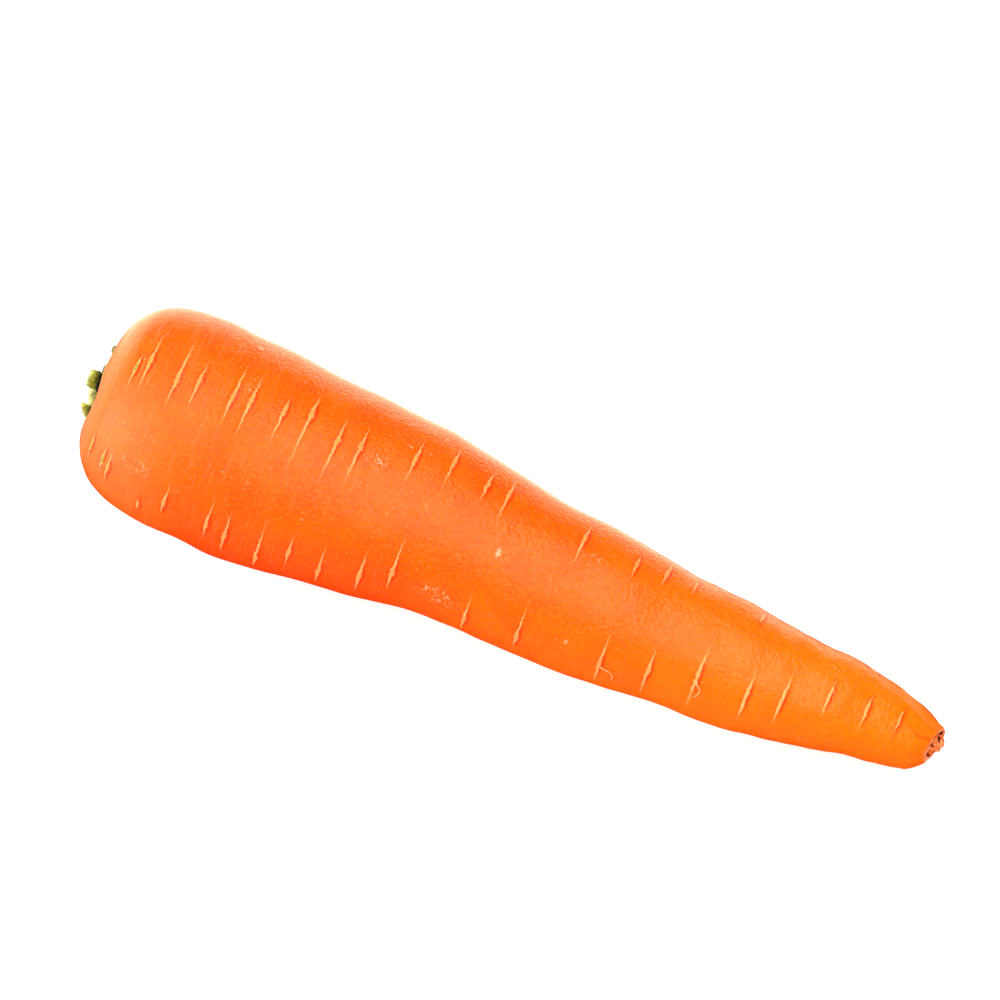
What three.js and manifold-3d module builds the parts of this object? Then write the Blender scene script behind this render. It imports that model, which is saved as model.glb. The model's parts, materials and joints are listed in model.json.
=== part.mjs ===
// A fresh carrot, lying as it rests on a table: the orange taproot, and in its crown the green
// stubs that are left where the leaf stalks were cut off.
//
// Millimetres, +Z up. The root is first modelled along +X, from the rim of its crown at station 0
// to its broken tip, and is then laid down: pitched until it touches the table under its shoulder
// and again towards its tail. Round the root, a turn is measured in degrees from straight up (+Z)
// towards the back (+Y).

import * as THREE from 'three';
import { mergeVertices } from 'three/addons/utils/BufferGeometryUtils.js';
import Module from 'manifold-3d';

// ---------------------------------------------------------------- driving dimensions

// The root's skin from the rim to the tip: station along the axis, radius there, and how far the
// middle of that section is bowed aside from the straight axis.
const SKIN = [
  [0.0, 9.9, 0.0],
  [0.35, 11.6, 0.1],
  [1.2, 13.6, 0.2],
  [2.7, 15.75, 0.2],
  [5.6, 18.25, 0.2],
  [10.5, 20.1, 0.1],
  [17.5, 21.0, -0.1],
  [25.5, 20.7, -0.2],
  [31.5, 20.9, -0.5],
  [38.5, 20.3, -0.45],
  [50.0, 19.2, 0.1],
  [61.5, 18.1, 0.7],
  [70.0, 16.95, 1.1],
  [77.0, 16.25, 0.75],
  [85.0, 15.6, 0.2],
  [93.0, 14.95, -0.3],
  [102.0, 14.7, -0.3],
  [110.5, 13.85, -0.5],
  [119.5, 12.65, -0.45],
  [130.0, 12.2, -0.55],
  [138.0, 11.3, -0.5],
  [146.0, 10.3, -0.1],
  [154.0, 9.15, 0.7],
  [162.0, 7.6, 0.8],
  [167.2, 6.45, 0.7],
  [169.3, 5.85, 0.65],
  [171.1, 4.65, 1.0],
  [172.0, 3.85, 1.25],
  [172.9, 3.3, 1.35],
  [173.9, 2.75, 1.4],
  [174.7, 2.0, 1.4],
];
const TIP_END = 175.3;
const BOW_TURN = 70;              // the side that the middle bows towards
const UNEVENNESS = 0.06;          // height of the gentle swellings of the skin

// The rim dips where leaf stalks pressed on it: turn of each dip, its depth and its half width in
// degrees. The dips fade out within this distance of the rim.
const RIM_DIPS = [
  [-40, 1.0, 27],
  [138, 0.75, 30],
  [-128, 0.5, 22],
];
const RIM_DIP_FADE = 4.0;

// The hollow of the crown, from the rim inwards: station and radius.
const HOLLOW = [
  [0.25, 9.2],
  [1.3, 8.85],
  [3.2, 8.6],
  [3.8, 7.6],
];
const HOLLOW_FLOOR = 3.8;

// The tip was broken off: the station of the break on the axis, the way it faces, and how far its
// middle is bowed aside. A callus has grown over it: a lump in the middle and a groove round that,
// which wanders in and out by some waves, each with a count, a phase and a height.
const BREAK_STATION = 173.05;
const BREAK_TILT = 14;            // between the break's normal and the root's axis
const BREAK_TURN = -50;
const BREAK_BOW = 1.25;
const LUMP_HEIGHT = 0.8;
const LUMP_RADIUS = 1.9;
const GROOVE_DEPTH = 0.8;
const GROOVE_RADIUS = 2.35;
const GROOVE_WIDTH = 0.5;
const GROOVE_WAVES = [[3, 0.4, 0.3], [5, 1.9, 0.15]];
const BREAK_RADII = [0.8, 1.5, 1.95, 2.35, 2.75, 3.3, 9.0];
const BREAK_SECTORS = 32;

// The pale scars left by the side roots lie across the root in four rows. These two rows are on
// the side that was measured, by eye to half a millimetre: how far along the root a scar looks
// from that side, and the heights over the axis of its middle, its upper end and its lower end.
const SIDE_TURN = -20;            // the turn that faces whoever measures
const SIDE_LEAN = 3.8;            // how far the tip leans towards them
const UPPER_SCARS = [
  [5, 5.5, 8.5, 0.5],
  [7, 7.5, 13.5, 1],
  [13, 6.5, 15, 0.5],
  [17, 8, 12, 1.5],
  [24, 8, 15, 1.5],
  [27.5, 8.5, 14, 1],
  [34, 9.5, 12.5, 2],
  [39, 11, 15, -1.5],
  [45.5, 8, 13, -1],
  [50, 9, 13, 0.5],
  [60.5, 11, 15, 5.5],
  [67.5, 13.5, 16.5, 8],
  [75, 12, 15, 8.5],
  [79.5, 12, 15, 6],
  [96, 10, 13, 4],
  [107, 9.5, 11.5, 6.5],
  [113, 10.5, 12.5, 7.5],
  [119, 11, 11.5, 8.5],
  [133, 10, 11, 9],
];
const LOWER_SCARS = [
  [3, -10.5, -7.5, -13.5],
  [6, -12.5, -9, -15],
  [7.5, -14, -9.5, -16.5],
  [15.5, -18, -17, -19],
  [20, -16, -12, -18],
  [29, -16, -11, -18.5],
  [33, -17, -12, -20],
  [40, -18.5, -11, -20],
  [45.5, -15, -11.5, -17.5],
  [52, -16, -10.5, -18],
  [59.5, -13.5, -8, -16.5],
  [65, -10.5, -3, -14],
  [81, -13, -8, -15],
  [91.5, -12, -5.5, -14],
  [108, -10.5, -4, -14],
  [117, -8, -3, -12.5],
  [126, -5, 1.5, -11.5],
  [136, -5, 0.5, -10],
  [142.5, -3, 3, -8],
  [150.5, 1.5, 4.5, -3],
  [158, 2.5, 5, -2.5],
  [164.5, 2.5, 5, 0],
];
const SCAR_WIDTH = 0.9;
const WIDTH_PER_LENGTH = 0.03;    // long scars are a little wider
const SCAR_DEPTH = 0.5;
const SCAR_CUT_REACH = 0.85;      // the open groove's share of a scar, which fades out past it
const SCAR_OVERCUT = 0.3;         // how far the cutter stands out of the skin

// The two rows that face away follow a rule: where they start, how they twist, and their spacing.
const HIDDEN_ROWS = [96, 186];
const HIDDEN_TWIST = 0.3;         // degrees a millimetre
const HIDDEN_SPACING = 7.6;
const HIDDEN_SEED = 20;

// The leaf stalks, cut short: distance from the axis, turn, width, thickness, and height of the
// cut over the rim.
const STALKS = [
  [1.9, -14, 3.7, 3.3, 3.1],
  [4.3, -58, 3.4, 2.2, 2.0],
  [6.1, -92, 4.0, 2.0, 1.7],
  [4.9, 24, 4.4, 2.1, 0.9],
  [7.1, 68, 1.9, 1.5, 1.1],
  [3.7, 92, 3.8, 2.3, 0.8],
  [6.7, 118, 4.6, 1.9, 0.1],
  [6.2, 166, 5.0, 2.1, 0.7],
  [3.7, -164, 4.0, 2.3, 1.3],
  [6.5, -136, 4.8, 2.0, 0.2],
  [1.3, 150, 2.6, 2.3, 1.9],
  [2.7, -106, 2.8, 2.2, 0.8],
  [6.7, -16, 4.6, 1.8, 0.5],
  [6.6, 30, 3.4, 1.4, -0.3],
];
const PLATE_RADIUS = 8.3;
const PLATE_TOP = 2.2;
const GAP = 0.3;                  // clearance between the stalks' plate and the root

// Laid down: the dip of the axis towards the tip, and the depth of the two flats it rests on.
const PITCH = THREE.MathUtils.degToRad(5.1);
const REST_FLAT_DEPTH = 0.35;

// Fineness of the solids.
const SECTORS = 48;
const STATION_STEP = 4.0;
const MOST_STEPS = 3;
const STALK_SIDES = 10;

const ORANGE = 0xf7660d;
const STALK_GREEN = 0xb3b24a;

// ---------------------------------------------------------------- closed solids

const wasm = await Module();
wasm.setup();

// A closed geometry through rings of points, all with as many points, ended by two poles.
function ringGeometry(rings, firstPole, lastPole) {
  const sides = rings[0].length;
  const points = [firstPole, ...rings.flat(), lastPole];
  const index = [];
  const at = (ring, side) => 1 + ring * sides + (side % sides);
  for (let side = 0; side < sides; side += 1) {
    index.push(0, at(0, side), at(0, side + 1));
    index.push(points.length - 1, at(rings.length - 1, side + 1), at(rings.length - 1, side));
  }
  for (let ring = 0; ring < rings.length - 1; ring += 1) {
    for (let side = 0; side < sides; side += 1) {
      const [a, b] = [at(ring, side), at(ring, side + 1)];
      const [c, d] = [at(ring + 1, side), at(ring + 1, side + 1)];
      index.push(a, d, b, a, c, d);
    }
  }
  const geometry = new THREE.BufferGeometry().setFromPoints(points);
  geometry.setIndex(index);
  return geometry;
}

function toManifold(geometry) {
  const bare = geometry.clone();
  bare.deleteAttribute('normal');
  bare.deleteAttribute('uv');
  const merged = mergeVertices(bare, 1e-4);
  const mesh = new wasm.Mesh({
    numProp: 3,
    vertProperties: new Float32Array(merged.attributes.position.array),
    triVerts: new Uint32Array(merged.index.array),
  });
  return new wasm.Manifold(mesh);
}

function toGeometry(manifold) {
  const mesh = manifold.getMesh();
  const geometry = new THREE.BufferGeometry();
  geometry.setAttribute('position', new THREE.BufferAttribute(mesh.vertProperties, 3));
  geometry.setIndex(new THREE.BufferAttribute(mesh.triVerts, 1));
  geometry.computeVertexNormals();
  return geometry;
}

// ---------------------------------------------------------------- the taproot

const radians = THREE.MathUtils.degToRad;
const skinCurve = new THREE.CatmullRomCurve3(
  SKIN.map(([station, radius, bow]) => new THREE.Vector3(station, radius, bow)),
  false,
  'catmullrom',
  0.5,
);

// Gentle swellings, which fade out at both ends of the root.
function swelling(station, turn) {
  const angle = radians(turn);
  const fade = THREE.MathUtils.smoothstep(station, 2, 20) * THREE.MathUtils.smoothstep(172 - station, 0, 20);
  const wave = Math.sin(0.19 * station + 2 * angle) + Math.sin(0.41 * station - angle + 1.3)
    + 0.7 * Math.sin(0.07 * station + 3 * angle + 0.6);
  return UNEVENNESS * fade * wave;
}

// How far the rim has dipped at a turn.
function rimDip(turn) {
  return RIM_DIPS.reduce((sum, [middle, depth, width]) => {
    const swing = THREE.MathUtils.euclideanModulo(turn - middle + 180, 360) - 180;
    return sum + depth * Math.exp(-((swing / width) ** 2));
  }, 0);
}

// A point at a turn round the section that has this station, radius and bow.
function sectionPoint(station, radius, bow, turn) {
  const reach = radius + swelling(station, turn);
  const dip = rimDip(turn) * (1 - THREE.MathUtils.smoothstep(station, 0, RIM_DIP_FADE));
  const y = bow * Math.sin(radians(BOW_TURN)) + reach * Math.sin(radians(turn));
  const z = bow * Math.cos(radians(BOW_TURN)) + reach * Math.cos(radians(turn));
  return new THREE.Vector3(station + dip, y, z);
}

// The skin's radius and bow at a station, found on its curve by halving.
function skinAt(station) {
  let [low, high] = [0, 1];
  for (let halving = 0; halving < 30; halving += 1) {
    const middle = (low + high) / 2;
    if (skinCurve.getPoint(middle).x < station) low = middle;
    else high = middle;
  }
  const { y: radius, z: bow } = skinCurve.getPoint(low);
  return { radius, bow };
}

function skinPoint(station, turn, height) {
  const { radius, bow } = skinAt(station);
  return sectionPoint(station, radius + height, bow, turn);
}

// A point on the broken face, at an angle round its middle and at a radius of the groove's rings,
// which wander with the groove.
function breakPoint(radius, angle) {
  const wander = GROOVE_WAVES.reduce((sum, [count, phase, height]) => (
    sum + height * Math.sin(count * angle + phase)), 0);
  const reach = radius + wander * Math.min(1, radius / GROOVE_RADIUS);
  const y = BREAK_BOW * Math.sin(radians(BOW_TURN)) + reach * Math.sin(angle);
  const z = BREAK_BOW * Math.cos(radians(BOW_TURN)) + reach * Math.cos(angle);
  const facing = y * Math.sin(radians(BREAK_TURN)) + z * Math.cos(radians(BREAK_TURN));
  const groove = GROOVE_DEPTH * Math.exp(-(((radius - GROOVE_RADIUS) / GROOVE_WIDTH) ** 2));
  const lump = LUMP_HEIGHT * Math.exp(-((reach / LUMP_RADIUS) ** 2));
  const station = BREAK_STATION - Math.tan(radians(BREAK_TILT)) * facing - groove + lump;
  return new THREE.Vector3(station, y, z);
}

// What was broken off: everything beyond the break, as one block.
function brokenOff() {
  const angles = Array.from({ length: BREAK_SECTORS }, (_, sector) => (2 * Math.PI * sector) / BREAK_SECTORS);
  const rings = BREAK_RADII.map((reach) => angles.map((angle) => breakPoint(reach, angle)));
  const beyond = TIP_END + 20;
  rings.push(rings.at(-1).map(({ y, z }) => new THREE.Vector3(beyond, y, z)));
  const face = breakPoint(0, 0);
  return toManifold(ringGeometry(rings, face, new THREE.Vector3(beyond, face.y, face.z)));
}

function taprootGeometry() {
  const turns = Array.from({ length: SECTORS }, (_, sector) => (360 * sector) / SECTORS);
  const ring = (station, radius, bow) => turns.map((turn) => sectionPoint(station, radius, bow, turn));
  const rings = HOLLOW.toReversed().map(([station, radius]) => ring(station, radius, 0));
  for (let span = 0; span < SKIN.length - 1; span += 1) {
    const length = SKIN[span + 1][0] - SKIN[span][0];
    const steps = Math.min(MOST_STEPS, Math.max(1, Math.round(length / STATION_STEP)));
    for (let step = 0; step < steps; step += 1) {
      const { x, y, z } = skinCurve.getPoint((span + step / steps) / (SKIN.length - 1));
      rings.push(ring(x, y, z));
    }
  }
  rings.push(ring(...SKIN.at(-1)));
  const floor = new THREE.Vector3(HOLLOW_FLOOR, 0, 0);
  const tip = sectionPoint(TIP_END, 0, SKIN.at(-1)[2], 0);
  return ringGeometry(rings, floor, tip);
}

// A measured scar as station, turn, reach towards the back, reach towards the front, and width.
function placedScar([seenStation, middle, top, bottom]) {
  const { radius, bow } = skinAt(seenStation);
  const angleAt = (height) => Math.asin(THREE.MathUtils.clamp((height - bow) / radius, -1, 1));
  const [angle, topAngle, bottomAngle] = [middle, top, bottom].map(angleAt);
  const station = seenStation + radius * Math.cos(angle) * Math.sin(radians(SIDE_LEAN));
  const turn = SIDE_TURN + THREE.MathUtils.radToDeg(angle);
  const [backReach, frontReach] = [radius * (topAngle - angle), radius * (angle - bottomAngle)];
  return [station, turn, backReach, frontReach, SCAR_WIDTH + WIDTH_PER_LENGTH * (backReach + frontReach)];
}

// A slender wedge that lies across the root and cuts one scar's groove.
function scarCutter([station, turn, backReach, frontReach, width]) {
  const { y, z } = skinPoint(station, turn, 0);
  const radius = Math.hypot(y, z);
  const along = [-0.5, 0, 0.5];
  const degrees = (reach) => THREE.MathUtils.radToDeg((reach * SCAR_CUT_REACH) / radius);
  const turnAt = (share) => turn + share * degrees(share > 0 ? backReach : frontReach);
  const rings = along.map((share) => {
    const fullness = 1 - 0.55 * Math.abs(share) / 0.5;
    const depth = SCAR_DEPTH * fullness;
    const half = (0.5 * width * fullness * (depth + SCAR_OVERCUT)) / depth;
    return [
      skinPoint(station, turnAt(share), -depth),
      skinPoint(station + half, turnAt(share), SCAR_OVERCUT),
      skinPoint(station - half, turnAt(share), SCAR_OVERCUT),
    ];
  });
  const [start, end] = [skinPoint(station, turnAt(-1), 0.12), skinPoint(station, turnAt(1), 0.12)];
  return toManifold(ringGeometry(rings, start, end));
}

// A small seeded generator, so that the hidden rows come out the same each time.
function seededRandom(seed) {
  let state = seed;
  return () => {
    state = (state * 16807) % 2147483647;
    return state / 2147483647;
  };
}

function hiddenScars() {
  const random = seededRandom(HIDDEN_SEED);
  return HIDDEN_ROWS.flatMap((firstTurn) => {
    const row = [];
    let station = 5 + 4 * random();
    while (station < 164) {
      const size = 0.45 + 0.55 * random();
      const turn = firstTurn + HIDDEN_TWIST * station + 10 * (random() - 0.5);
      const slimming = 1 - 0.55 * (station / TIP_END) ** 2;
      row.push([station, turn, 7 * size * slimming, 7 * size * slimming, 0.8 + 0.6 * size]);
      station += HIDDEN_SPACING * (0.45 + 1.1 * random());
    }
    return row;
  });
}

function taproot() {
  let solid = toManifold(taprootGeometry()).subtract(brokenOff());
  const measured = [...UPPER_SCARS, ...LOWER_SCARS].map(placedScar);
  for (const scar of [...measured, ...hiddenScars()]) {
    solid = solid.subtract(scarCutter(scar));
  }
  return solid;
}

// ---------------------------------------------------------------- the cut leaf stalks

// The plate that the stalks grow from, seated in the crown's hollow.
function plate() {
  const ring = (station, radius) => Array.from({ length: SECTORS / 2 }, (_, side) => {
    const angle = (4 * Math.PI * side) / SECTORS;
    return new THREE.Vector3(station, radius * Math.sin(angle), radius * Math.cos(angle));
  });
  const bottom = HOLLOW_FLOOR - GAP;
  const rings = [ring(PLATE_TOP, PLATE_RADIUS - 0.9), ring(2.6, PLATE_RADIUS), ring(2.9, PLATE_RADIUS),
    ring(bottom, PLATE_RADIUS - 1.1)];
  const [top, base] = [new THREE.Vector3(PLATE_TOP - 0.8, 0, 0), new THREE.Vector3(bottom, 0, 0)];
  return toManifold(ringGeometry(rings, top, base));
}

// One stub, a crescent in section as a leaf stalk is, leaning outwards a little, round at its cut.
function stalk([distance, turn, width, thickness, height]) {
  const outward = new THREE.Vector3(0, Math.sin(radians(turn)), Math.cos(radians(turn)));
  const across = new THREE.Vector3(0, Math.cos(radians(turn)), -Math.sin(radians(turn)));
  const section = (station, scale, lean) => Array.from({ length: STALK_SIDES }, (_, side) => {
    const angle = (2 * Math.PI * side) / STALK_SIDES;
    const sideways = 0.5 * width * scale * Math.sin(angle);
    const curl = -(sideways ** 2) / (2 * Math.max(distance, 2.5));
    const radial = distance + lean + curl + 0.5 * thickness * scale * Math.cos(angle);
    return new THREE.Vector3(station, 0, 0)
      .addScaledVector(outward, radial)
      .addScaledVector(across, sideways);
  });
  const root = PLATE_TOP + 0.5;
  const rings = [section(-height, 0.62, 0.1), section(0.4 - height, 0.94, 0.08),
    section(1.2 - height, 1.0, 0), section(root, 1.12, -0.3)];
  const pole = (station, lean) => new THREE.Vector3(station, 0, 0)
    .addScaledVector(outward, distance + lean);
  return toManifold(ringGeometry(rings, pole(-height - 0.1, 0.1), pole(root + 0.2, -0.3)));
}

function leafStalks() {
  return STALKS.reduce((solid, row) => solid.add(stalk(row)), plate());
}

// ---------------------------------------------------------------- laid on the table

// Pitched, sunk by the depth of the flats, and cut off level with the table.
const taprootLaid = toGeometry(taproot()).rotateY(PITCH);
taprootLaid.computeBoundingBox();
const lift = -taprootLaid.boundingBox.min.z - REST_FLAT_DEPTH;
taprootLaid.translate(0, 0, lift);
const stalksLaid = toGeometry(leafStalks()).rotateY(PITCH).translate(0, 0, lift);

const UNDER_TABLE = 20;
const underTable = new THREE.BoxGeometry(400, 100, UNDER_TABLE).translate(100, 0, -UNDER_TABLE / 2);
const taprootRested = toGeometry(toManifold(taprootLaid).subtract(toManifold(underTable)));

function namedMesh(name, geometry, color, roughness) {
  const material = new THREE.MeshStandardMaterial({ color, roughness, metalness: 0 });
  const mesh = new THREE.Mesh(geometry, material);
  mesh.name = name;
  return mesh;
}

const carrot = new THREE.Group();
carrot.add(namedMesh('taproot', taprootRested, ORANGE, 0.45));
carrot.add(namedMesh('leaf_stalks', stalksLaid, STALK_GREEN, 0.7));

// The origin is on the table, under the middle of the carrot.
const middle = new THREE.Box3().setFromObject(carrot).getCenter(new THREE.Vector3());
carrot.position.set(-middle.x, -middle.y, 0);
carrot.updateMatrixWorld(true);

export default carrot;
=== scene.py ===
# %% [markdown]
# # A fresh carrot
# An orange taproot lies on its side, with the green stubs of its cut leaf stalks in its crown.
# The imported model already says how large each part is and where it lies. This lesson builds fine
# skins over those parts: a root with the scars of its side roots, and stalks with their fibres.
# First the imported model is loaded.

# %% Load the frame
import json
import math

import bpy
import numpy as np
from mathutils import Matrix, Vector, noise

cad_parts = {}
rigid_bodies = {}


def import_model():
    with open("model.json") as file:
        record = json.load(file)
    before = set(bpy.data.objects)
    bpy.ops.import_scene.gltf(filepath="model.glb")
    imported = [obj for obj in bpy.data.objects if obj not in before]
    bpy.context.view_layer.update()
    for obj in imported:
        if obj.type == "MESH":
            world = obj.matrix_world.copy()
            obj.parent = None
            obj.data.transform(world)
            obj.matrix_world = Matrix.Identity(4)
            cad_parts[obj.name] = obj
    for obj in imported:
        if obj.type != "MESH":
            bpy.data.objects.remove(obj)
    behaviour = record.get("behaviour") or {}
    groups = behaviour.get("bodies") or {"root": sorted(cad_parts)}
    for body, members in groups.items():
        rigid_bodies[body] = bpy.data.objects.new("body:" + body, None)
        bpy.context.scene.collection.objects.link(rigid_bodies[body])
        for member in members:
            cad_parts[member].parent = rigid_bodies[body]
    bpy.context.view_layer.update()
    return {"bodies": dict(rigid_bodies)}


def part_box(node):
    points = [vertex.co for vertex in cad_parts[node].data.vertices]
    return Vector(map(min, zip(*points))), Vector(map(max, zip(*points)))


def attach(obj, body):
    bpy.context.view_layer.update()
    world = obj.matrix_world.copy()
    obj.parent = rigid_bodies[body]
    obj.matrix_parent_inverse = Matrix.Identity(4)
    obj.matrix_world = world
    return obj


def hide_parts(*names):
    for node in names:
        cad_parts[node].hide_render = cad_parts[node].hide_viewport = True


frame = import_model()
MM = 0.001

# %% [markdown]
# ## The outline of the root
# A carrot is nearly round in section, so its outline is a short list: how far along the axis, how
# thick there, and how far that section has bowed aside. A lathe could spin such a list, but a real
# root is never quite straight, so each section keeps a bow of its own. The sizes are those of the
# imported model, in millimetres. A Catmull-Rom curve runs smoothly through the points.

# %% Outline
SKIN = [
    (0.0, 9.9, 0.0),
    (0.35, 11.6, 0.1),
    (1.2, 13.6, 0.2),
    (2.7, 15.75, 0.2),
    (5.6, 18.25, 0.2),
    (10.5, 20.1, 0.1),
    (17.5, 21.0, -0.1),
    (25.5, 20.7, -0.2),
    (31.5, 20.9, -0.5),
    (38.5, 20.3, -0.45),
    (50.0, 19.2, 0.1),
    (61.5, 18.1, 0.7),
    (70.0, 16.95, 1.1),
    (77.0, 16.25, 0.75),
    (85.0, 15.6, 0.2),
    (93.0, 14.95, -0.3),
    (102.0, 14.7, -0.3),
    (110.5, 13.85, -0.5),
    (119.5, 12.65, -0.45),
    (130.0, 12.2, -0.55),
    (138.0, 11.3, -0.5),
    (146.0, 10.3, -0.1),
    (154.0, 9.15, 0.7),
    (162.0, 7.6, 0.8),
    (167.2, 6.45, 0.7),
    (169.3, 5.85, 0.65),
    (171.1, 4.65, 1.0),
    (172.0, 3.85, 1.25),
    (172.9, 3.3, 1.35),
    (173.9, 2.75, 1.4),
    (174.7, 2.0, 1.4),
    (175.1, 1.1, 1.4),
    (175.3, 0.2, 1.4),
]
HOLLOW = [(3.8, 0.6, 0.0), (3.8, 7.6, 0.0), (3.2, 8.6, 0.0), (1.3, 8.85, 0.0), (0.25, 9.2, 0.0)]
BOW_TURN = math.radians(70)
SKIN_SAMPLES = 4000
HOLLOW_SAMPLES = 400


def through_points(points, places):
    """The Catmull-Rom curve through points, at places counted in points from the first."""
    knots = np.array(points)
    ends = [2 * knots[:1] - knots[1:2], knots, 2 * knots[-1:] - knots[-2:-1]]
    padded = np.concatenate(ends)
    first = np.clip(np.floor(places).astype(int), 0, len(knots) - 2)
    share = (np.asarray(places) - first)[:, None]
    before, start, end, after = (padded[first + step] for step in range(4))
    leave = (end - before) / 2
    arrive = (after - start) / 2
    square = -3 * start + 3 * end - 2 * leave - arrive
    cube = 2 * start - 2 * end + leave + arrive
    return start + leave * share + square * share**2 + cube * share**3


skin_table = through_points(SKIN, np.linspace(0, len(SKIN) - 1, SKIN_SAMPLES))
hollow_table = through_points(HOLLOW + SKIN[:1], np.linspace(0, len(HOLLOW), HOLLOW_SAMPLES))
print("root", SKIN[-1][0], "mm long,", 2 * skin_table[:, 1].max().round(1), "mm thick")

# %% [markdown]
# ## Rings of points
# The skin becomes a net of rings. Scars lie across the root and are about a millimetre wide, so
# the rings sit closer together than the points on each ring. The spacing tightens again at the
# broken tip, where the detail is finest.

# %% Ring spacing
RING_STEP = 0.335
TIP_RING_STEP = 0.16
TIP_FROM = 170.0
SECTORS = 158


def spaced_rings(table):
    """Stations, radii and bows of rings spread along the outline by the wanted spacing."""
    steps = np.hypot(np.diff(table[:, 0]), np.diff(table[:, 1]))
    wanted = np.where(table[1:, 0] > TIP_FROM, TIP_RING_STEP, RING_STEP)
    count = np.concatenate([[0], np.cumsum(steps / wanted)])
    arc = np.concatenate([[0], np.cumsum(steps)])
    places = np.arange(0, count[-1])
    columns = [np.interp(places, count, column) for column in (*table.T, arc)]
    return np.stack(columns, axis=1)


rings = spaced_rings(np.concatenate([hollow_table, skin_table[1:]]))
turns = 2 * np.pi * np.arange(SECTORS) / SECTORS
print(len(rings), "rings of", SECTORS, "points")

# %% [markdown]
# ## Gentle swellings
# Roots swell a little wherever the soil let them, and the crown's rim dips where leaf stalks once
# pressed on it. Long sine waves and a few bell curves give both. A wave has its radians a
# millimetre, its lobes round the root, a phase and a share. A dip has its turn, its depth and a
# width in degrees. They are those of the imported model, except that the deepest dip is a little
# shallower here.

# %% Swellings
UNEVENNESS = 0.06
SWELLING_WAVES = [(0.19, 2, 0.0, 1.0), (0.41, -1, 1.3, 1.0), (0.07, 3, 0.6, 0.7)]
SWELLING_GROWS = (2, 20)
SWELLING_ENDS = 172
SWELLING_FADE = 20
RIM_DIPS = [(-40, 0.65, 27), (138, 0.75, 30), (-128, 0.5, 22)]
RIM_DIP_FADE = 4.0


def smoothstep(value, low, high):
    share = np.clip((value - low) / (high - low), 0, 1)
    return share * share * (3 - 2 * share)


def bell(value, width):
    return np.exp(-((value / width) ** 2))


def swelling(station, turn):
    """How far the skin stands out at a station and turn, in millimetres."""
    fade_out = smoothstep(SWELLING_ENDS - station, 0, SWELLING_FADE)
    fade = smoothstep(station, *SWELLING_GROWS) * fade_out
    wave = sum(share * np.sin(along * station + lobes * turn + phase)
               for along, lobes, phase, share in SWELLING_WAVES)
    return UNEVENNESS * fade * wave


def swing_from(turn, middle):
    """The signed angle from middle, in degrees, to turn, in radians."""
    return (turn - math.radians(middle) + np.pi) % (2 * np.pi) - np.pi


def rim_dip(turn):
    """How far the crown's rim has dipped at a turn, in millimetres."""
    return sum(depth * bell(swing_from(turn, middle), math.radians(width))
               for middle, depth, width in RIM_DIPS)


def section_points(station, radius, bow, turn):
    reach = radius + swelling(station, turn)
    y = bow * math.sin(BOW_TURN) + reach * np.sin(turn)
    z = bow * math.cos(BOW_TURN) + reach * np.cos(turn)
    dip = rim_dip(turn) * (1 - smoothstep(station, 0, RIM_DIP_FADE))
    return np.stack([station + dip, y, z], axis=-1)


net = section_points(rings[:, None, 0], rings[:, None, 1], rings[:, None, 2], turns[None, :])
print("net of", net.shape[0] * net.shape[1], "points")

# %% [markdown]
# ## Scars of the side roots
# Four rows of thin side roots grew along the carrot. Each left a pale slit that lies across it:
# wide in the middle, with a fine tail at each end. Two rows were measured from one side, to
# half a millimetre: how far along a scar looks from there, and the heights over the axis of its
# middle, its upper end and its lower end. A little trigonometry turns those into places on the
# round skin. The rows that face away follow the same seeded rule as the imported model.

# %% Scar rows
UPPER_SCARS = [
    (5, 5.5, 8.5, 0.5),
    (7, 7.5, 13.5, 1),
    (13, 6.5, 15, 0.5),
    (17, 8, 12, 1.5),
    (24, 8, 15, 1.5),
    (27.5, 8.5, 14, 1),
    (34, 9.5, 12.5, 2),
    (39, 11, 15, -1.5),
    (45.5, 8, 13, -1),
    (50, 9, 13, 0.5),
    (60.5, 11, 15, 5.5),
    (67.5, 13.5, 16.5, 8),
    (75, 12, 15, 8.5),
    (79.5, 12, 15, 6),
    (96, 10, 13, 4),
    (107, 9.5, 11.5, 6.5),
    (113, 10.5, 12.5, 7.5),
    (119, 11, 11.5, 8.5),
    (133, 10, 11, 9),
]
LOWER_SCARS = [
    (3, -10.5, -7.5, -13.5),
    (6, -12.5, -9, -15),
    (7.5, -14, -9.5, -16.5),
    (15.5, -18, -17, -19),
    (20, -16, -12, -18),
    (29, -16, -11, -18.5),
    (33, -17, -12, -20),
    (40, -18.5, -11, -20),
    (45.5, -15, -11.5, -17.5),
    (52, -16, -10.5, -18),
    (59.5, -13.5, -8, -16.5),
    (65, -10.5, -3, -14),
    (81, -13, -8, -15),
    (91.5, -12, -5.5, -14),
    (108, -10.5, -4, -14),
    (117, -8, -3, -12.5),
    (126, -5, 1.5, -11.5),
    (136, -5, 0.5, -10),
    (142.5, -3, 3, -8),
    (150.5, 1.5, 4.5, -3),
    (158, 2.5, 5, -2.5),
    (164.5, 2.5, 5, 0),
]
SIDE_TURN = -20.0
SIDE_LEAN = math.radians(3.8)
SCAR_WIDTH = 0.9
WIDTH_PER_LENGTH = 0.03
HIDDEN_ROWS = (96, 186)
HIDDEN_TWIST = 0.3
HIDDEN_SPACING = 7.6
HIDDEN_SEED = 20
HIDDEN_STARTS = (5, 4)
HIDDEN_SIZES = (0.45, 0.55)
HIDDEN_GAPS = (0.45, 1.1)
HIDDEN_WIDTHS = (0.8, 0.6)
HIDDEN_UNTIL = 164
HIDDEN_TURN_SPREAD = 10
HIDDEN_REACH = 7
HIDDEN_SLIMMING = 0.55
TIP_END = 175.3
DRAW_FACTOR = 16807
DRAW_MODULUS = 2147483647


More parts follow.
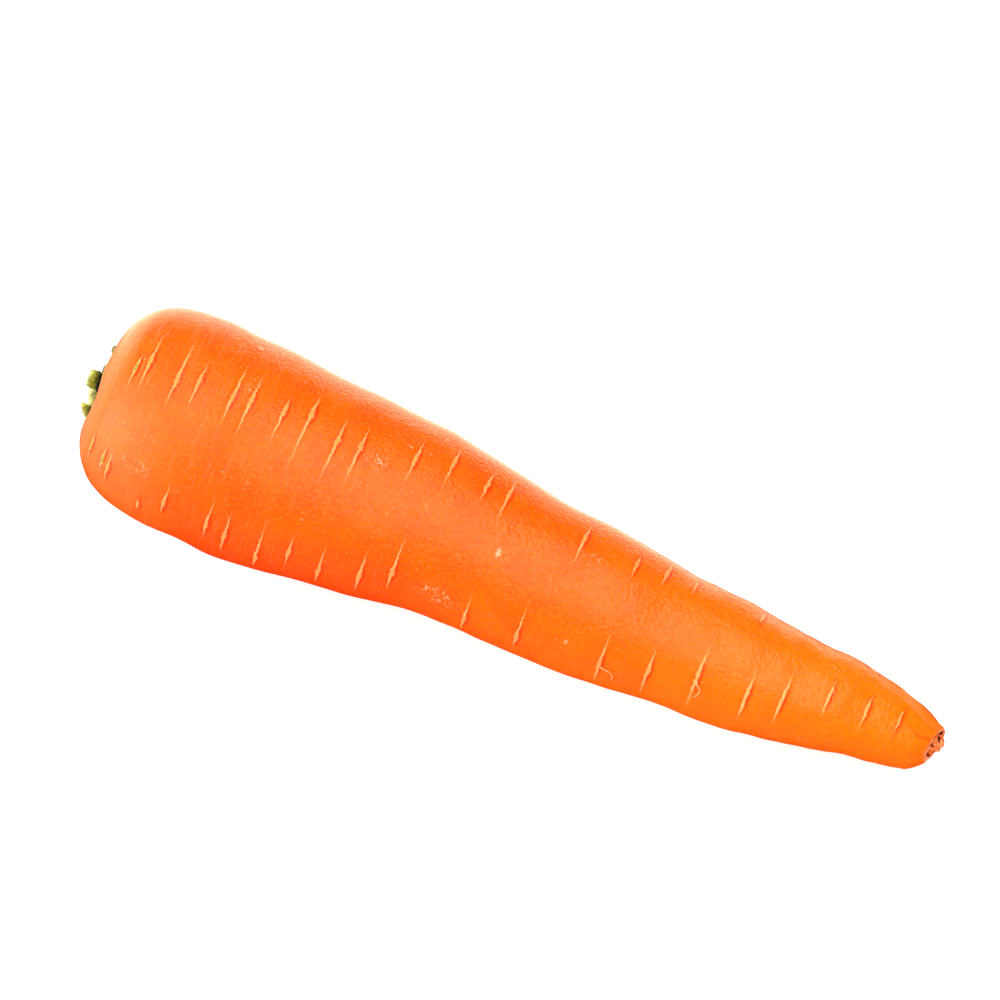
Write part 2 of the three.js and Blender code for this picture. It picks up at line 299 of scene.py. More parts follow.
def skin_at(station):
    return [np.interp(station, skin_table[:, 0], skin_table[:, column]) for column in (1, 2)]


def placed_scar(seen_station, *heights):
    """A measured scar as station, turn, reach to the back, reach to the front, and width."""
    radius, bow = skin_at(seen_station)
    angle, top, bottom = np.arcsin(np.clip((np.array(heights) - bow) / radius, -1, 1))
    station = seen_station + radius * math.cos(angle) * math.sin(SIDE_LEAN)
    back, front = radius * (top - angle), radius * (angle - bottom)
    width = SCAR_WIDTH + WIDTH_PER_LENGTH * (back + front)
    return station, SIDE_TURN + math.degrees(angle), back, front, width


def seeded_draws(seed):
    """Endless numbers from 0 to 1, the same each time."""
    state = seed
    while True:
        state = (state * DRAW_FACTOR) % DRAW_MODULUS
        yield state / DRAW_MODULUS


def within(limits, draw):
    """A draw from 0 to 1 turned into a value: the least one, and how much more it can be."""
    least, spread = limits
    return least + spread * draw


def hidden_scars():
    """The scars of the rows that face away, in the same five numbers as placed_scar gives."""
    draws = seeded_draws(HIDDEN_SEED)
    scars = []
    for first_turn in HIDDEN_ROWS:
        station = within(HIDDEN_STARTS, next(draws))
        while station < HIDDEN_UNTIL:
            size = within(HIDDEN_SIZES, next(draws))
            turn = first_turn + HIDDEN_TWIST * station + HIDDEN_TURN_SPREAD * (next(draws) - 0.5)
            reach = HIDDEN_REACH * size * (1 - HIDDEN_SLIMMING * (station / TIP_END) ** 2)
            scars.append((station, turn, reach, reach, within(HIDDEN_WIDTHS, size)))
            station += HIDDEN_SPACING * within(HIDDEN_GAPS, next(draws))
    return scars


measured_scars = [placed_scar(*row) for row in UPPER_SCARS + LOWER_SCARS]
scars = np.array(measured_scars + hidden_scars())
print(len(scars), "scars")

# %% [markdown]
# ## Where each point lies on its nearest scar
# Relief and colour both need to know how far a point is across a scar and how far along it. Those
# numbers are worked out once for every point, for the scar that claims it most, and stored with the
# mesh. They change evenly, so the material can draw a sharp line between coarse points. Where two
# scars claim a point almost equally, its certainty drops to nothing, which hides the seam.

# %% Scar places
REACH_ACROSS = 1.6
SEAM = 0.25


def scar_places():
    """For each point: mm across its scar, mm along it, share along it, scar number, certainty."""
    arc_of_station = np.interp(scars[:, 0], skin_table[:, 0], skin_arc)
    best = np.full(net.shape[:2], 1e6)
    second = best.copy()
    places = np.zeros((*net.shape[:2], 4))
    for number, (station, turn, back, front, width) in enumerate(scars):
        across = rings[:, None, 3] - arc_of_station[number] + 0 * turns[None, :]
        around = swing_from(turns[None, :], turn) * rings[:, None, 1]
        share = np.where(around > 0, around / back, around / front)
        claim = (across / REACH_ACROSS) ** 2 + share**2
        nearer = claim < best
        second = np.where(nearer, best, np.minimum(second, claim))
        best[nearer] = claim[nearer]
        places[nearer] = np.stack([across, around, share, np.full_like(share, number)], -1)[nearer]
    certain = smoothstep(second - best, 0, SEAM)
    return places, certain


skin_steps = np.hypot(np.diff(skin_table[:, 0]), np.diff(skin_table[:, 1]))
hollow_steps = np.hypot(np.diff(hollow_table[:, 0]), np.diff(hollow_table[:, 1]))
skin_arc = hollow_steps.sum() + np.concatenate([[0], np.cumsum(skin_steps)])
scar_place, certain = scar_places()
scar_number = scar_place[..., 3].astype(int)
scar_width = scars[scar_number, 4] * certain
print("points on scars:", int((np.abs(scar_place[..., 2]) < 1).sum()))

# %% [markdown]
# ## Relief of the skin
# Each scar is a shallow slit between two soft lips, with a small raised eye where the side root
# stood. The whole skin has wide dents, and faint rings near the crown. Towards the tip it shrank
# as it dried, which left puckers, fine wrinkles, and a few creases that run into the break. Each
# crease is a turn, a depth and a width in degrees. The collar round the leaf stalks is lumpy. A
# sculptor would press all this in by hand. Here it is heights in millimetres, added along the
# surface's own normal, so it stays upright on the steep shoulder too. A pair of stations says
# where a form grows or fades. The last number of each noise_field call only picks another part of
# the noise.

# %% Relief
SLIT_DEPTH = 0.16
LIP_HEIGHT = 0.06
EYE_HEIGHT = 0.12
SLIT_WIDTH_SHARE = 0.45
SLIT_LEAST_WIDTH = 0.1
LIP_WIDTH = 0.45
EYE_SIZE = (0.4, 0.9)
FULL_SHARE = 0.45
RING_RELIEF = 0.012
RING_SIZE = 1.1
RING_STRETCH = (1.0, 0.1, 0.1)
RINGS_FADE = (30, 90)
DENT_HEIGHT = 0.12
DENT_SIZE = 9.0
PUCKER_HEIGHT = 0.26
PUCKER_SIZE = 4.6
PUCKERS_AT_CROWN = 0.25
PUCKERS_GROW = (90, 150)
WRINKLE_HEIGHT = 0.09
WRINKLE_SIZE = 1.7
WRINKLES_GROW = (130, 160)
TIP_CREASES = [(-8, 0.3, 5), (24, 0.2, 4), (52, 0.3, 6), (-46, 0.2, 4), (110, 0.3, 6),
               (165, 0.25, 5), (-115, 0.3, 6)]
CREASE_SWAY = 0.1
CREASE_SWAY_RATE = 0.6
CREASES_GROW = (158, 171)
RELIEF_GROWS = 3
COLLAR_HEIGHT = 0.6
COLLAR_INWARD = 1.3
COLLAR_WIDTH = 1.2
COLLAR_SIZE = 2.6


def skin_normals(points):
    around = np.roll(points, -1, axis=1) - np.roll(points, 1, axis=1)
    onward = np.gradient(points, axis=0)
    normals = np.cross(around, onward)
    return normals / np.linalg.norm(normals, axis=-1, keepdims=True)


def crease_depth(station, turn):
    """How deep the skin is drawn in where the root shrank round its broken tip, in millimetres."""
    swaying = turn + CREASE_SWAY * np.sin(CREASE_SWAY_RATE * station)
    folds = sum(depth * bell(swing_from(swaying, middle), math.radians(width))
                for middle, depth, width in TIP_CREASES)
    return folds * smoothstep(station, *CREASES_GROW)


def noise_field(points, size, offset):
    """Smooth noise from -1 to 1 at points, with features of about size in millimetres."""
    scaled = (points / size + offset).reshape(-1, 3)
    values = [noise.noise(Vector(point)) for point in scaled]
    return np.array(values).reshape(points.shape[:-1])


across, along, share = scar_place[..., 0], scar_place[..., 1], scar_place[..., 2]
fullness = bell(share, FULL_SHARE) * certain
slit = -SLIT_DEPTH * bell(across, SLIT_WIDTH_SHARE * scar_width + SLIT_LEAST_WIDTH) * fullness
lips = LIP_HEIGHT * bell(np.abs(across) - scar_width, LIP_WIDTH) * fullness
eye = EYE_HEIGHT * bell(across, EYE_SIZE[0]) * bell(along, EYE_SIZE[1]) * certain
dents = DENT_HEIGHT * noise_field(net, DENT_SIZE, 3.7)
puckered = PUCKERS_AT_CROWN + (1 - PUCKERS_AT_CROWN) * smoothstep(net[..., 0], *PUCKERS_GROW)
puckers = PUCKER_HEIGHT * puckered * noise_field(net, PUCKER_SIZE, 6.4)
wrinkled = smoothstep(net[..., 0], *WRINKLES_GROW)
wrinkles = WRINKLE_HEIGHT * wrinkled * noise_field(net, WRINKLE_SIZE, 8.8)
creases = crease_depth(rings[:, None, 0], turns[None, :])
ringed = 1 - smoothstep(net[..., 0], *RINGS_FADE)
faint_rings = RING_RELIEF * ringed * noise_field(net * np.array(RING_STRETCH), RING_SIZE, 9.2)
rim_arc = skin_arc[0]
on_skin = smoothstep(rings[:, None, 3], rim_arc, rim_arc + RELIEF_GROWS)
relief = (slit + lips + eye + dents + puckers + wrinkles - creases + faint_rings) * on_skin
from_rim = rings[:, None, 3] - rim_arc
lumpy = COLLAR_HEIGHT * bell(from_rim + COLLAR_INWARD, COLLAR_WIDTH)
collar_lumps = lumpy * noise_field(net, COLLAR_SIZE, 4.9)
print("relief from", relief.min().round(2), "to", relief.max().round(2), "mm")

# %% [markdown]
# ## The broken tip
# The thread of root below the tip snapped off and left a callused face: lumps in the middle, and a
# groove between them and the skin. Everything past that face is pressed back onto it. The
# groove wanders by two waves, each with its lobes, a phase and a height. The groove and the pits
# that open among the crumbs are painted dark as shade.

# %% Break
BREAK_STATION = 172.5
BREAK_TILT = math.radians(14)
BREAK_TURN = math.radians(-50)
BREAK_BOW = 1.25
LUMP_HEIGHT = 1.5
LUMP_RADIUS = 1.9
GROOVE_DEPTH = 0.55
GROOVE_RADIUS = 2.35
GROOVE_WIDTH = 0.36
GROOVE_WAVES = [(3, 0.4, 0.3), (5, 1.9, 0.15)]
CRUMB_HEIGHT = 0.45
CRUMB_SIZE = 0.8
CRUMBS_FADE = (2.6, 3.4)
GROOVE_SHADE = 0.55
PITS_OPEN = (0.12, 0.45)
FACE_EDGE = (-0.1, 0.15)


def break_station(points):
    """The station of the broken face over each point, and how dark its painted pit shade is."""
    y, z = points[..., 1], points[..., 2]
    y_off = y - BREAK_BOW * math.sin(BOW_TURN)
    z_off = z - BREAK_BOW * math.cos(BOW_TURN)
    reach = np.hypot(y_off, z_off)
    turn = np.arctan2(y_off, z_off)
    wander = sum(height * np.sin(count * turn + phase) for count, phase, height in GROOVE_WAVES)
    groove = bell(reach - wander - GROOVE_RADIUS, GROOVE_WIDTH)
    flat = np.stack([0 * y, y, z], axis=-1)
    crumbs = noise_field(flat, CRUMB_SIZE, 5.1) * (1 - smoothstep(reach, *CRUMBS_FADE))
    # Painted shade: dark in the groove and where the crumbs sink lowest.
    pit_shading = np.clip(groove * (GROOVE_SHADE + crumbs) + smoothstep(-crumbs, *PITS_OPEN), 0, 1)
    facing = y * math.sin(BREAK_TURN) + z * math.cos(BREAK_TURN)
    station = BREAK_STATION - math.tan(BREAK_TILT) * facing - GROOVE_DEPTH * groove
    return station + LUMP_HEIGHT * bell(reach, LUMP_RADIUS) + CRUMB_HEIGHT * crumbs, pit_shading


normals = skin_normals(net)
shaped = net + normals * (relief + collar_lumps)[..., None]
face_station, pit_shading = break_station(shaped)
past_face = smoothstep(shaped[..., 0] - face_station, *FACE_EDGE)
shaped[..., 0] = np.minimum(shaped[..., 0], face_station)
print("points on the broken face:", int((past_face > 0.5).sum()))

# %% [markdown]
# ## Laying it down
# The root is modelled along its own axis. It is then pitched as it lies: the shoulder and the tail
# both touch the table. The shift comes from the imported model, so that nothing is fitted by eye.

# %% Lay down
PITCH = math.radians(5.1)
REST_FLAT_DEPTH = 0.35


def pitched(points):
    x = points[..., 0] * math.cos(PITCH) + points[..., 2] * math.sin(PITCH)
    z = points[..., 2] * math.cos(PITCH) - points[..., 0] * math.sin(PITCH)
    return np.stack([x, points[..., 1], z], axis=-1)


def shift_to_frame():
    """The move, in millimetres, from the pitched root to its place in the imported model."""
    low, high = (np.array(corner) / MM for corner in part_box("taproot"))
    plain = pitched(net).reshape(-1, 3)
    middle = (plain[:, 1].max() + plain[:, 1].min()) / 2
    return np.array([low[0] - plain[:, 0].min(), (low[1] + high[1]) / 2 - middle,
                     -plain[:, 2].min() - REST_FLAT_DEPTH])


shift = shift_to_frame()


def laid(points):
    """Points of the root's own axes, in mm, as points of the frame, in metres."""
    return (pitched(np.asarray(points, dtype=float)) + shift) * MM


skin_points = laid(shaped)
skin_points[..., 2] = np.maximum(skin_points[..., 2], 0)
print("shift in mm:", shift.round(2))

# %% [markdown]
# ## The root's mesh
# The net is joined into faces ring by ring and closed with a point at each end. The numbers that
# the material will read are stored on the points as named attributes.

# %% Mesh helpers
def placed_object(name, data):
    """A new object that shows data, linked to the scene."""
    thing = bpy.data.objects.new(name, data)
    bpy.context.scene.collection.objects.link(thing)
    return thing


def mesh_object(name, points, faces, material):
    mesh = bpy.data.meshes.new(name)
    mesh.from_pydata([tuple(point) for point in points], [], faces)
    mesh.validate()
    mesh.shade_smooth()
    mesh.materials.append(material)
    return placed_object(name, mesh)


def store_vectors(thing, name, vectors):
    attribute = thing.data.attributes.new(name, "FLOAT_VECTOR", "POINT")
    attribute.data.foreach_set("vector", np.asarray(vectors, dtype=np.float32).ravel())


def net_faces(ring_count, sides):
    """Faces that join rings of points, closed by the two points after them."""
    first, last = ring_count * sides, ring_count * sides + 1
    faces = []
    end = (ring_count - 1) * sides
    for side in range(sides):
        following = (side + 1) % sides
        faces.append((first, side, following))
        faces.append((last, end + following, end + side))
        for ring in range(0, end, sides):
            onward = ring + sides
            faces.append((ring + side, onward + side, onward + following, ring + following))
    return faces


def closed_points(grid):
    """A grid's points in order, with the middle of its first and last rings after them."""
    ends = [grid[0].mean(axis=0), grid[-1].mean(axis=0)]
    return np.concatenate([grid.reshape(-1, grid.shape[-1]), ends])


# %% [markdown]
# ## Colours
# Colours are written as people read them, in eight-bit steps, and turned into the linear values
# that a shader works with.

# %% Colours
def tint(code):
    """A linear colour from a six-digit code."""
    parts = [int(code[place:place + 2], 16) / 255 for place in (0, 2, 4)]
    linear = [part / 12.92 if part <= 0.04045 else ((part + 0.055) / 1.055) ** 2.4
              for part in parts]
    return (*linear, 1.0)


SKIN_ORANGE = tint("FA5A00")
SKIN_DEEP = tint("F84E00")
SKIN_SHADED_FLANK = tint("F84200")
SKIN_YELLOW = tint("FA7600")
SCAR_PALE = tint("F8A060")
SCAR_GOLD = tint("F69C38")
SCAR_TAN = tint("DC9440")
SCAR_CRUST = tint("C27430")
EYE_HALO = tint("F6C878")
SCAR_PAINTED_SHADOW = tint("F02C00")
EYE_GREEN = tint("8A9A34")
SCUFF_PALE = tint("F8AC80")
CREASE_PAINTED_SHADE = tint("C84406")
PIT_SHADE_DARK = tint("200A02")
PIT_SHADE_RED = tint("901E04")
CALLUS_PALE = tint("F0B080")
CALLUS_ORANGE = tint("EC6820")
RIM_PAINTED_HIGHLIGHT = tint("F8905C")
COLLAR_PALE = tint("F8B878")
COLLAR_OLIVE = tint("6E5A16")
print("skin orange, linear:", [round(value, 3) for value in SKIN_ORANGE[:3]])

# %% [markdown]
# ## Small helpers for node trees
# A material is a tree of nodes. These helpers add a node, set its values and link it, each in one
# line, so that the trees below read like recipes.

# %% Node helpers
def add_node(tree, kind, settings=None, **inputs):
    """A node with its settings and inputs set. An input may be a value or another node's output."""
    node = tree.nodes.new(kind)
    for name, value in (settings or {}).items():
        setattr(node, name, value)
    for name, value in inputs.items():
        key = int(name[1:]) if name[0] == "i" and name[1:].isdigit() else name.replace("_", " ")
        if isinstance(value, bpy.types.NodeSocket):
            tree.links.new(value, node.inputs[key])
        else:
            node.inputs[key].default_value = value
    return node


def maths(tree, operation, first, second=0.0, clamp=False):
    settings = {"operation": operation, "use_clamp": clamp}
    return add_node(tree, "ShaderNodeMath", settings, i0=first, i1=second).outputs[0]


def times(tree, first, second):
    return maths(tree, "MULTIPLY", first, second)


def mix_colour(tree, share, first, second):
    settings = {"data_type": "RGBA", "blend_type": "MIX"}
    return add_node(tree, "ShaderNodeMix", settings, i0=share, i6=first, i7=second).outputs[2]


def ramp(tree, value, low, high, out_low=0.0, out_high=1.0):
    """value from low to high, as out_low to out_high, eased at both ends."""
    settings = {"interpolation_type": "SMOOTHSTEP"}
    node = add_node(tree, "ShaderNodeMapRange", settings, i0=value, i1=low, i2=high,
                    i3=out_low, i4=out_high)
    return node.outputs[0]


def noise_value(tree, place, scale, detail=2.0, roughness=0.5):
    node = add_node(tree, "ShaderNodeTexNoise", None, Vector=place, Scale=scale, Detail=detail,
                    Roughness=roughness)
    return node.outputs[0]


def stretched_place(tree, place, stretch):
    settings = {"operation": "MULTIPLY"}
    return add_node(tree, "ShaderNodeVectorMath", settings, i0=place, i1=stretch).outputs[0]


def new_group(name, inputs, outputs):
    """An empty node group with named inputs and outputs, each given as name and socket type."""
    group = bpy.data.node_groups.new(name, "ShaderNodeTree")
    for title, kind in inputs:
        group.interface.new_socket(name=title, in_out="INPUT", socket_type=kind)
    for title, kind in outputs:
        group.interface.new_socket(name=title, in_out="OUTPUT", socket_type=kind)
    return group, group.nodes.new("NodeGroupInput"), group.nodes.new("NodeGroupOutput")


def use_group(tree, group, **inputs):
    return add_node(tree, "ShaderNodeGroup", {"node_tree": group}, **inputs)


FLOAT, VECTOR = "NodeSocketFloat", "NodeSocketVector"

# %% [markdown]
# ## Living-tissue grain, shared by root and stalks
# Both the root and the stalks are living tissue with tiny cells and paler flecks, at different
# scales. One group makes both: a mottle, sparse flecks, and a height for the bump.

# %% Tissue group
def tissue_group():
    group, given, result = new_group(
        "Plant tissue",
        [("Place", VECTOR), ("Mottle Scale", FLOAT), ("Grain Scale", FLOAT),
         ("Fleck Share", FLOAT)],
        [("Mottle", FLOAT), ("Flecks", FLOAT), ("Height", FLOAT)],
    )
    place = given.outputs["Place"]
    mottle = noise_value(group, place, given.outputs["Mottle Scale"], 3.0, 0.6)
    grain = noise_value(group, place, given.outputs["Grain Scale"], 2.0, 0.55)
    spots = add_node(group, "ShaderNodeTexVoronoi", None, Vector=place,
                     Scale=given.outputs["Grain Scale"])
    near = ramp(group, spots.outputs["Distance"], 0.08, 0.3, 1.0, 0.0)
    chance = add_node(group, "ShaderNodeSeparateColor", None, Color=spots.outputs["Color"])
    chosen = maths(group, "LESS_THAN", chance.outputs[0], given.outputs["Fleck Share"])
    flecks = times(group, near, chosen)
    group.links.new(ramp(group, mottle, 0.3, 0.7), result.inputs["Mottle"])
    group.links.new(flecks, result.inputs["Flecks"])
    group.links.new(maths(group, "MULTIPLY_ADD", grain, 0.6), result.inputs["Height"])
    return group


tissue = tissue_group()
print("group:", tissue.name)

# %% [markdown]
# ## A scar as masks
# The scar group turns a point's place on its scar into three masks: the fine pale line with its
# spindle in the middle, the golden core of that spindle, and a painted shadow beside it, redder
# and stronger on the side of the tip. Noise bends the line and frays its edge, so that no two
# scars match. Towards the tip the scars lose their spindles and become plain golden strokes.

# %% Scar group
def scar_group():
    group, given, result = new_group(
        "Side-root scar",
        [("Place", VECTOR), ("Scar Place", VECTOR), ("Scar Width", FLOAT), ("Wobble", FLOAT),
         ("Stroke", FLOAT)],
        [("Line", FLOAT), ("Core", FLOAT), ("Shade", FLOAT)],
    )
    parts = add_node(group, "ShaderNodeSeparateXYZ", None, Vector=given.outputs["Scar Place"])
    across, along, share = parts.outputs
    width = given.outputs["Scar Width"]
    bend = maths(group, "SUBTRACT", noise_value(group, given.outputs["Place"], 0.7, 2.0), 0.5)
    bend = times(group, bend, given.outputs["Wobble"])
    off = maths(group, "ABSOLUTE", maths(group, "ADD", across, bend))
    ragged = ramp(group, noise_value(group, given.outputs["Place"], 2.6, 2.0), 0.3, 0.7, 0.65, 1.3)
    reach = maths(group, "ABSOLUTE", share)
    middle = maths(group, "ABSOLUTE", along)
    spindle = ramp(group, middle, 0.1, 2.3, 0.18, 0.0)
    thin = ramp(group, reach, 0.2, 1.0, 0.16, 0.08)
    stroke = given.outputs["Stroke"]
    plump = times(group, stroke, ramp(group, reach, 0.1, 0.9, 0.1, 0.0))
    spindle = times(group, spindle, maths(group, "SUBTRACT", 1.0, stroke))
    half = maths(group, "ADD", maths(group, "ADD", spindle, thin), plump)
    half = times(group, half, ragged)
    half = maths(group, "MAXIMUM", times(group, half, width), 0.001)
    edge = maths(group, "DIVIDE", off, half)
    fade = ramp(group, reach, 0.3, 1.15, 1.0, 0.0)
    line = times(group, ramp(group, edge, 0.5, 1.25, 1.0, 0.0), fade)
    golden = ramp(group, middle, 0.5, 2.2, 1.0, 0.0)
    gold = times(group, ramp(group, edge, 0.35, 0.9, 1.0, 0.0), golden)
    stroke_gold = times(group, times(group, line, stroke), 0.6)
    gold = maths(group, "MAXIMUM", gold, stroke_gold)
    # Painted shadow: a band beside the line, stronger on the side of the tip.
    beside = maths(group, "SUBTRACT", off, half)
    shade = times(group, ramp(group, beside, 0.0, 0.9, 1.0, 0.0),
                  ramp(group, middle, 1.0, 4.5, 1.0, 0.0))
    shade = times(group, shade, ramp(group, across, -0.4, 0.4, 0.3, 1.0))
    shade = maths(group, "SUBTRACT", times(group, shade, width), line, clamp=True)
    for title, value in (("Line", line), ("Core", gold), ("Shade", shade)):
        group.links.new(value, result.inputs[title])
    return group


scar_masks = scar_group()
print("group:", scar_masks.name)

# %% [markdown]
# ## What every material here shares
# A material starts empty, reads the numbers stored on the mesh, and ends in a Principled shader.
# These helpers take up those three steps, so that each recipe is left with its own layers.

# %% Material helpers
def new_material(name):
    material = bpy.data.materials.new(name)
    material.use_nodes = True
    material.node_tree.nodes.clear()
    return material, material.node_tree


def attribute_vector(tree, name):
    return add_node(tree, "ShaderNodeAttribute", {"attribute_name": name}).outputs["Vector"]


def attribute_parts(tree, name):
    """The three numbers of a stored attribute, apart."""
    vector = attribute_vector(tree, name)
    return add_node(tree, "ShaderNodeSeparateXYZ", None, Vector=vector).outputs


def bump_normal(tree, height, strength, distance):
    node = add_node(tree, "ShaderNodeBump", None, Height=height, Strength=strength,
                    Distance=distance)
    return node.outputs[0]


def surface(tree, **inputs):
    """A Principled shader with these inputs, linked to the material's output."""
    shader = add_node(tree, "ShaderNodeBsdfPrincipled", None, **inputs)
    output = add_node(tree, "ShaderNodeOutputMaterial")
    tree.links.new(shader.outputs[0], output.inputs[0])


# %% [markdown]
# ## The skin's colour, with painted light and shade
# The orange is built in layers, as a painter would glaze it. Deep and light orange are mottled
# together. Yellow grows in towards the tip and in small cells. The lower flank is painted a deeper
# red as shade. The shoulder and the rim are painted paler as a highlight, with faint rings, and the
# hollow is olive.

# %% Skin layers
TAILWARD = (80.0, 172.0)
CROWN_PART = (12.0, 60.0)


def orange_layers(tree, place, station, flank_shade, grain):
    colour = mix_colour(tree, grain.outputs["Mottle"], SKIN_DEEP, SKIN_ORANGE)
    colour = mix_colour(tree, ramp(tree, station, *TAILWARD, 0.0, 0.75), colour, SKIN_YELLOW)
    cells = ramp(tree, noise_value(tree, place, 2.2, 2.0), 0.32, 0.68, 0.0, 0.25)
    colour = mix_colour(tree, cells, colour, SKIN_YELLOW)
    # Painted shade: the lower flank is made a deeper red.
    colour = mix_colour(tree, flank_shade, colour, SKIN_SHADED_FLANK)
    speckle = ramp(tree, noise_value(tree, place, 1.1, 3.0, 0.65), 0.5, 0.72, 0.0, 0.06)
    return mix_colour(tree, speckle, colour, SCAR_PALE)


def crown_layers(tree, place, station, streaks, shoulder_highlight, colour):
    """The painted highlight on shoulder and rim, the faint rings, the collar, and the hollow's
    inside.
    """
    collar, inside, crease_shade = attribute_parts(tree, "crown_tones")
    shoulder_highlight = times(tree, shoulder_highlight, ramp(tree, streaks, 0.0, 1.0, 0.8, 1.2))
    # Painted highlight: the front of the shoulder and the rim are made paler.
    colour = mix_colour(tree, shoulder_highlight, colour, RIM_PAINTED_HIGHLIGHT)
    ring_share = ramp(tree, station, *CROWN_PART, 0.16, 0.03)
    colour = mix_colour(tree, times(tree, streaks, ring_share), colour, SCAR_PALE)
    ragged = ramp(tree, noise_value(tree, place, 0.9, 3.0, 0.6), 0.35, 0.65, 0.4, 1.2)
    colour = mix_colour(tree, times(tree, collar, ragged), colour, COLLAR_PALE)
    return mix_colour(tree, times(tree, inside, ragged), colour, COLLAR_OLIVE), crease_shade


# %% [markdown]
# ## Wear, scars and the broken tip
# Over the orange come the marks. Curled scratches fill each scuff, and a nick is a pale torn spot.
# A scar has a painted red shadow beside it, its pale line and its golden core, browner where a
# crust stayed on it, and green in its heart near the crown. Last come the creases, painted brown
# as shade, and the callus of the break, with red and black painted into its pits as shade.

# %% Mark layers
def worn_layers(tree, place, scuffed, nicked, colour):
    level = maths(tree, "SUBTRACT", noise_value(tree, place, 0.75, 1.0), 0.5)
    scratches = ramp(tree, maths(tree, "ABSOLUTE", level), 0.01, 0.032, 1.0, 0.0)
    broken_up = ramp(tree, noise_value(tree, place, 1.7, 2.0), 0.46, 0.54)
    scratches = times(tree, scratches, broken_up)
    rubbed = times(tree, scratches, ramp(tree, scuffed, 0.15, 0.6, 0.0, 0.75))
    torn = times(tree, nicked, ramp(tree, broken_up, 0.0, 1.0, 0.7, 1.3))
    torn = ramp(tree, torn, 0.3, 0.8, 0.0, 0.85)
    return mix_colour(tree, maths(tree, "MAXIMUM", rubbed, torn), colour, SCUFF_PALE)


def scar_layers(tree, place, scar, stroke, green, tan, colour):
    # Painted shadow beside each scar, in a darker red.
    colour = mix_colour(tree, times(tree, scar.outputs["Shade"], 0.8), colour, SCAR_PAINTED_SHADOW)
    colour = mix_colour(tree, times(tree, scar.outputs["Line"], 0.95), colour, SCAR_PALE)
    # The tan share is a seeded tone, raised as painted shade on the lower scars.
    core = mix_colour(tree, tan, SCAR_GOLD, SCAR_TAN)
    crusts = ramp(tree, noise_value(tree, place, 3.2, 2.0), 0.5, 0.62, 0.0, 0.55)
    core = mix_colour(tree, crusts, core, SCAR_CRUST)
    haloed = maths(tree, "MAXIMUM", green, times(tree, stroke, 0.5))
    core = mix_colour(tree, haloed, core, EYE_HALO)
    colour = mix_colour(tree, times(tree, scar.outputs["Core"], 0.75), colour, core)
    heart = ramp(tree, scar.outputs["Core"], 0.45, 0.95)
    return mix_colour(tree, times(tree, heart, green), colour, EYE_GREEN)


def tip_layers(tree, place, crease_shade, broken, pit_shade_mask, colour):
    crumbs = ramp(tree, noise_value(tree, place, 1.4, 4.0, 0.7), 0.46, 0.66)
    callus = mix_colour(tree, crumbs, CALLUS_ORANGE, CALLUS_PALE)
    # Painted shade: red and black in the groove and pits of the break.
    callus = mix_colour(tree, ramp(tree, pit_shade_mask, 0.2, 0.6), callus, PIT_SHADE_RED)
    callus = mix_colour(tree, ramp(tree, pit_shade_mask, 0.7, 1.0), callus, PIT_SHADE_DARK)
    # Painted shade: the creases near the tip are darkened brown by their depth.
    colour = mix_colour(tree, ramp(tree, crease_shade, 0.05, 0.3, 0.0, 0.45), colour, CREASE_PAINTED_SHADE)
    return mix_colour(tree, broken, colour, callus)


# %% [markdown]
# ## The root's skin
# Fresh carrot skin is moist and slightly clear: light enters it, turns redder inside and comes
# out a little way off. A Principled shader does that with subsurface scattering. Fine pebbles and
# rings in the bump break up the sheen. Scars and the break are duller, and the skin dries a little
# towards the tip.

# %% Skin material
STROKES_FROM = (110.0, 135.0)
DRYING = (140.0, 168.0)


def skin_height(tree, place, station, streaks, grain, scar):
    """The height for the bump: grain, faint rings, pebbles and raised scar cores."""
    fine = times(tree, grain.outputs["Height"], 0.4)
    faint_rings = times(tree, streaks, ramp(tree, station, *CROWN_PART, 0.4, 0.08))
    fine = maths(tree, "ADD", fine, faint_rings)
    pebbles = times(tree, noise_value(tree, place, 1.3, 1.0), 0.75)
    raised = times(tree, scar.outputs["Core"], 0.5)
    return maths(tree, "ADD", maths(tree, "ADD", fine, pebbles), raised)


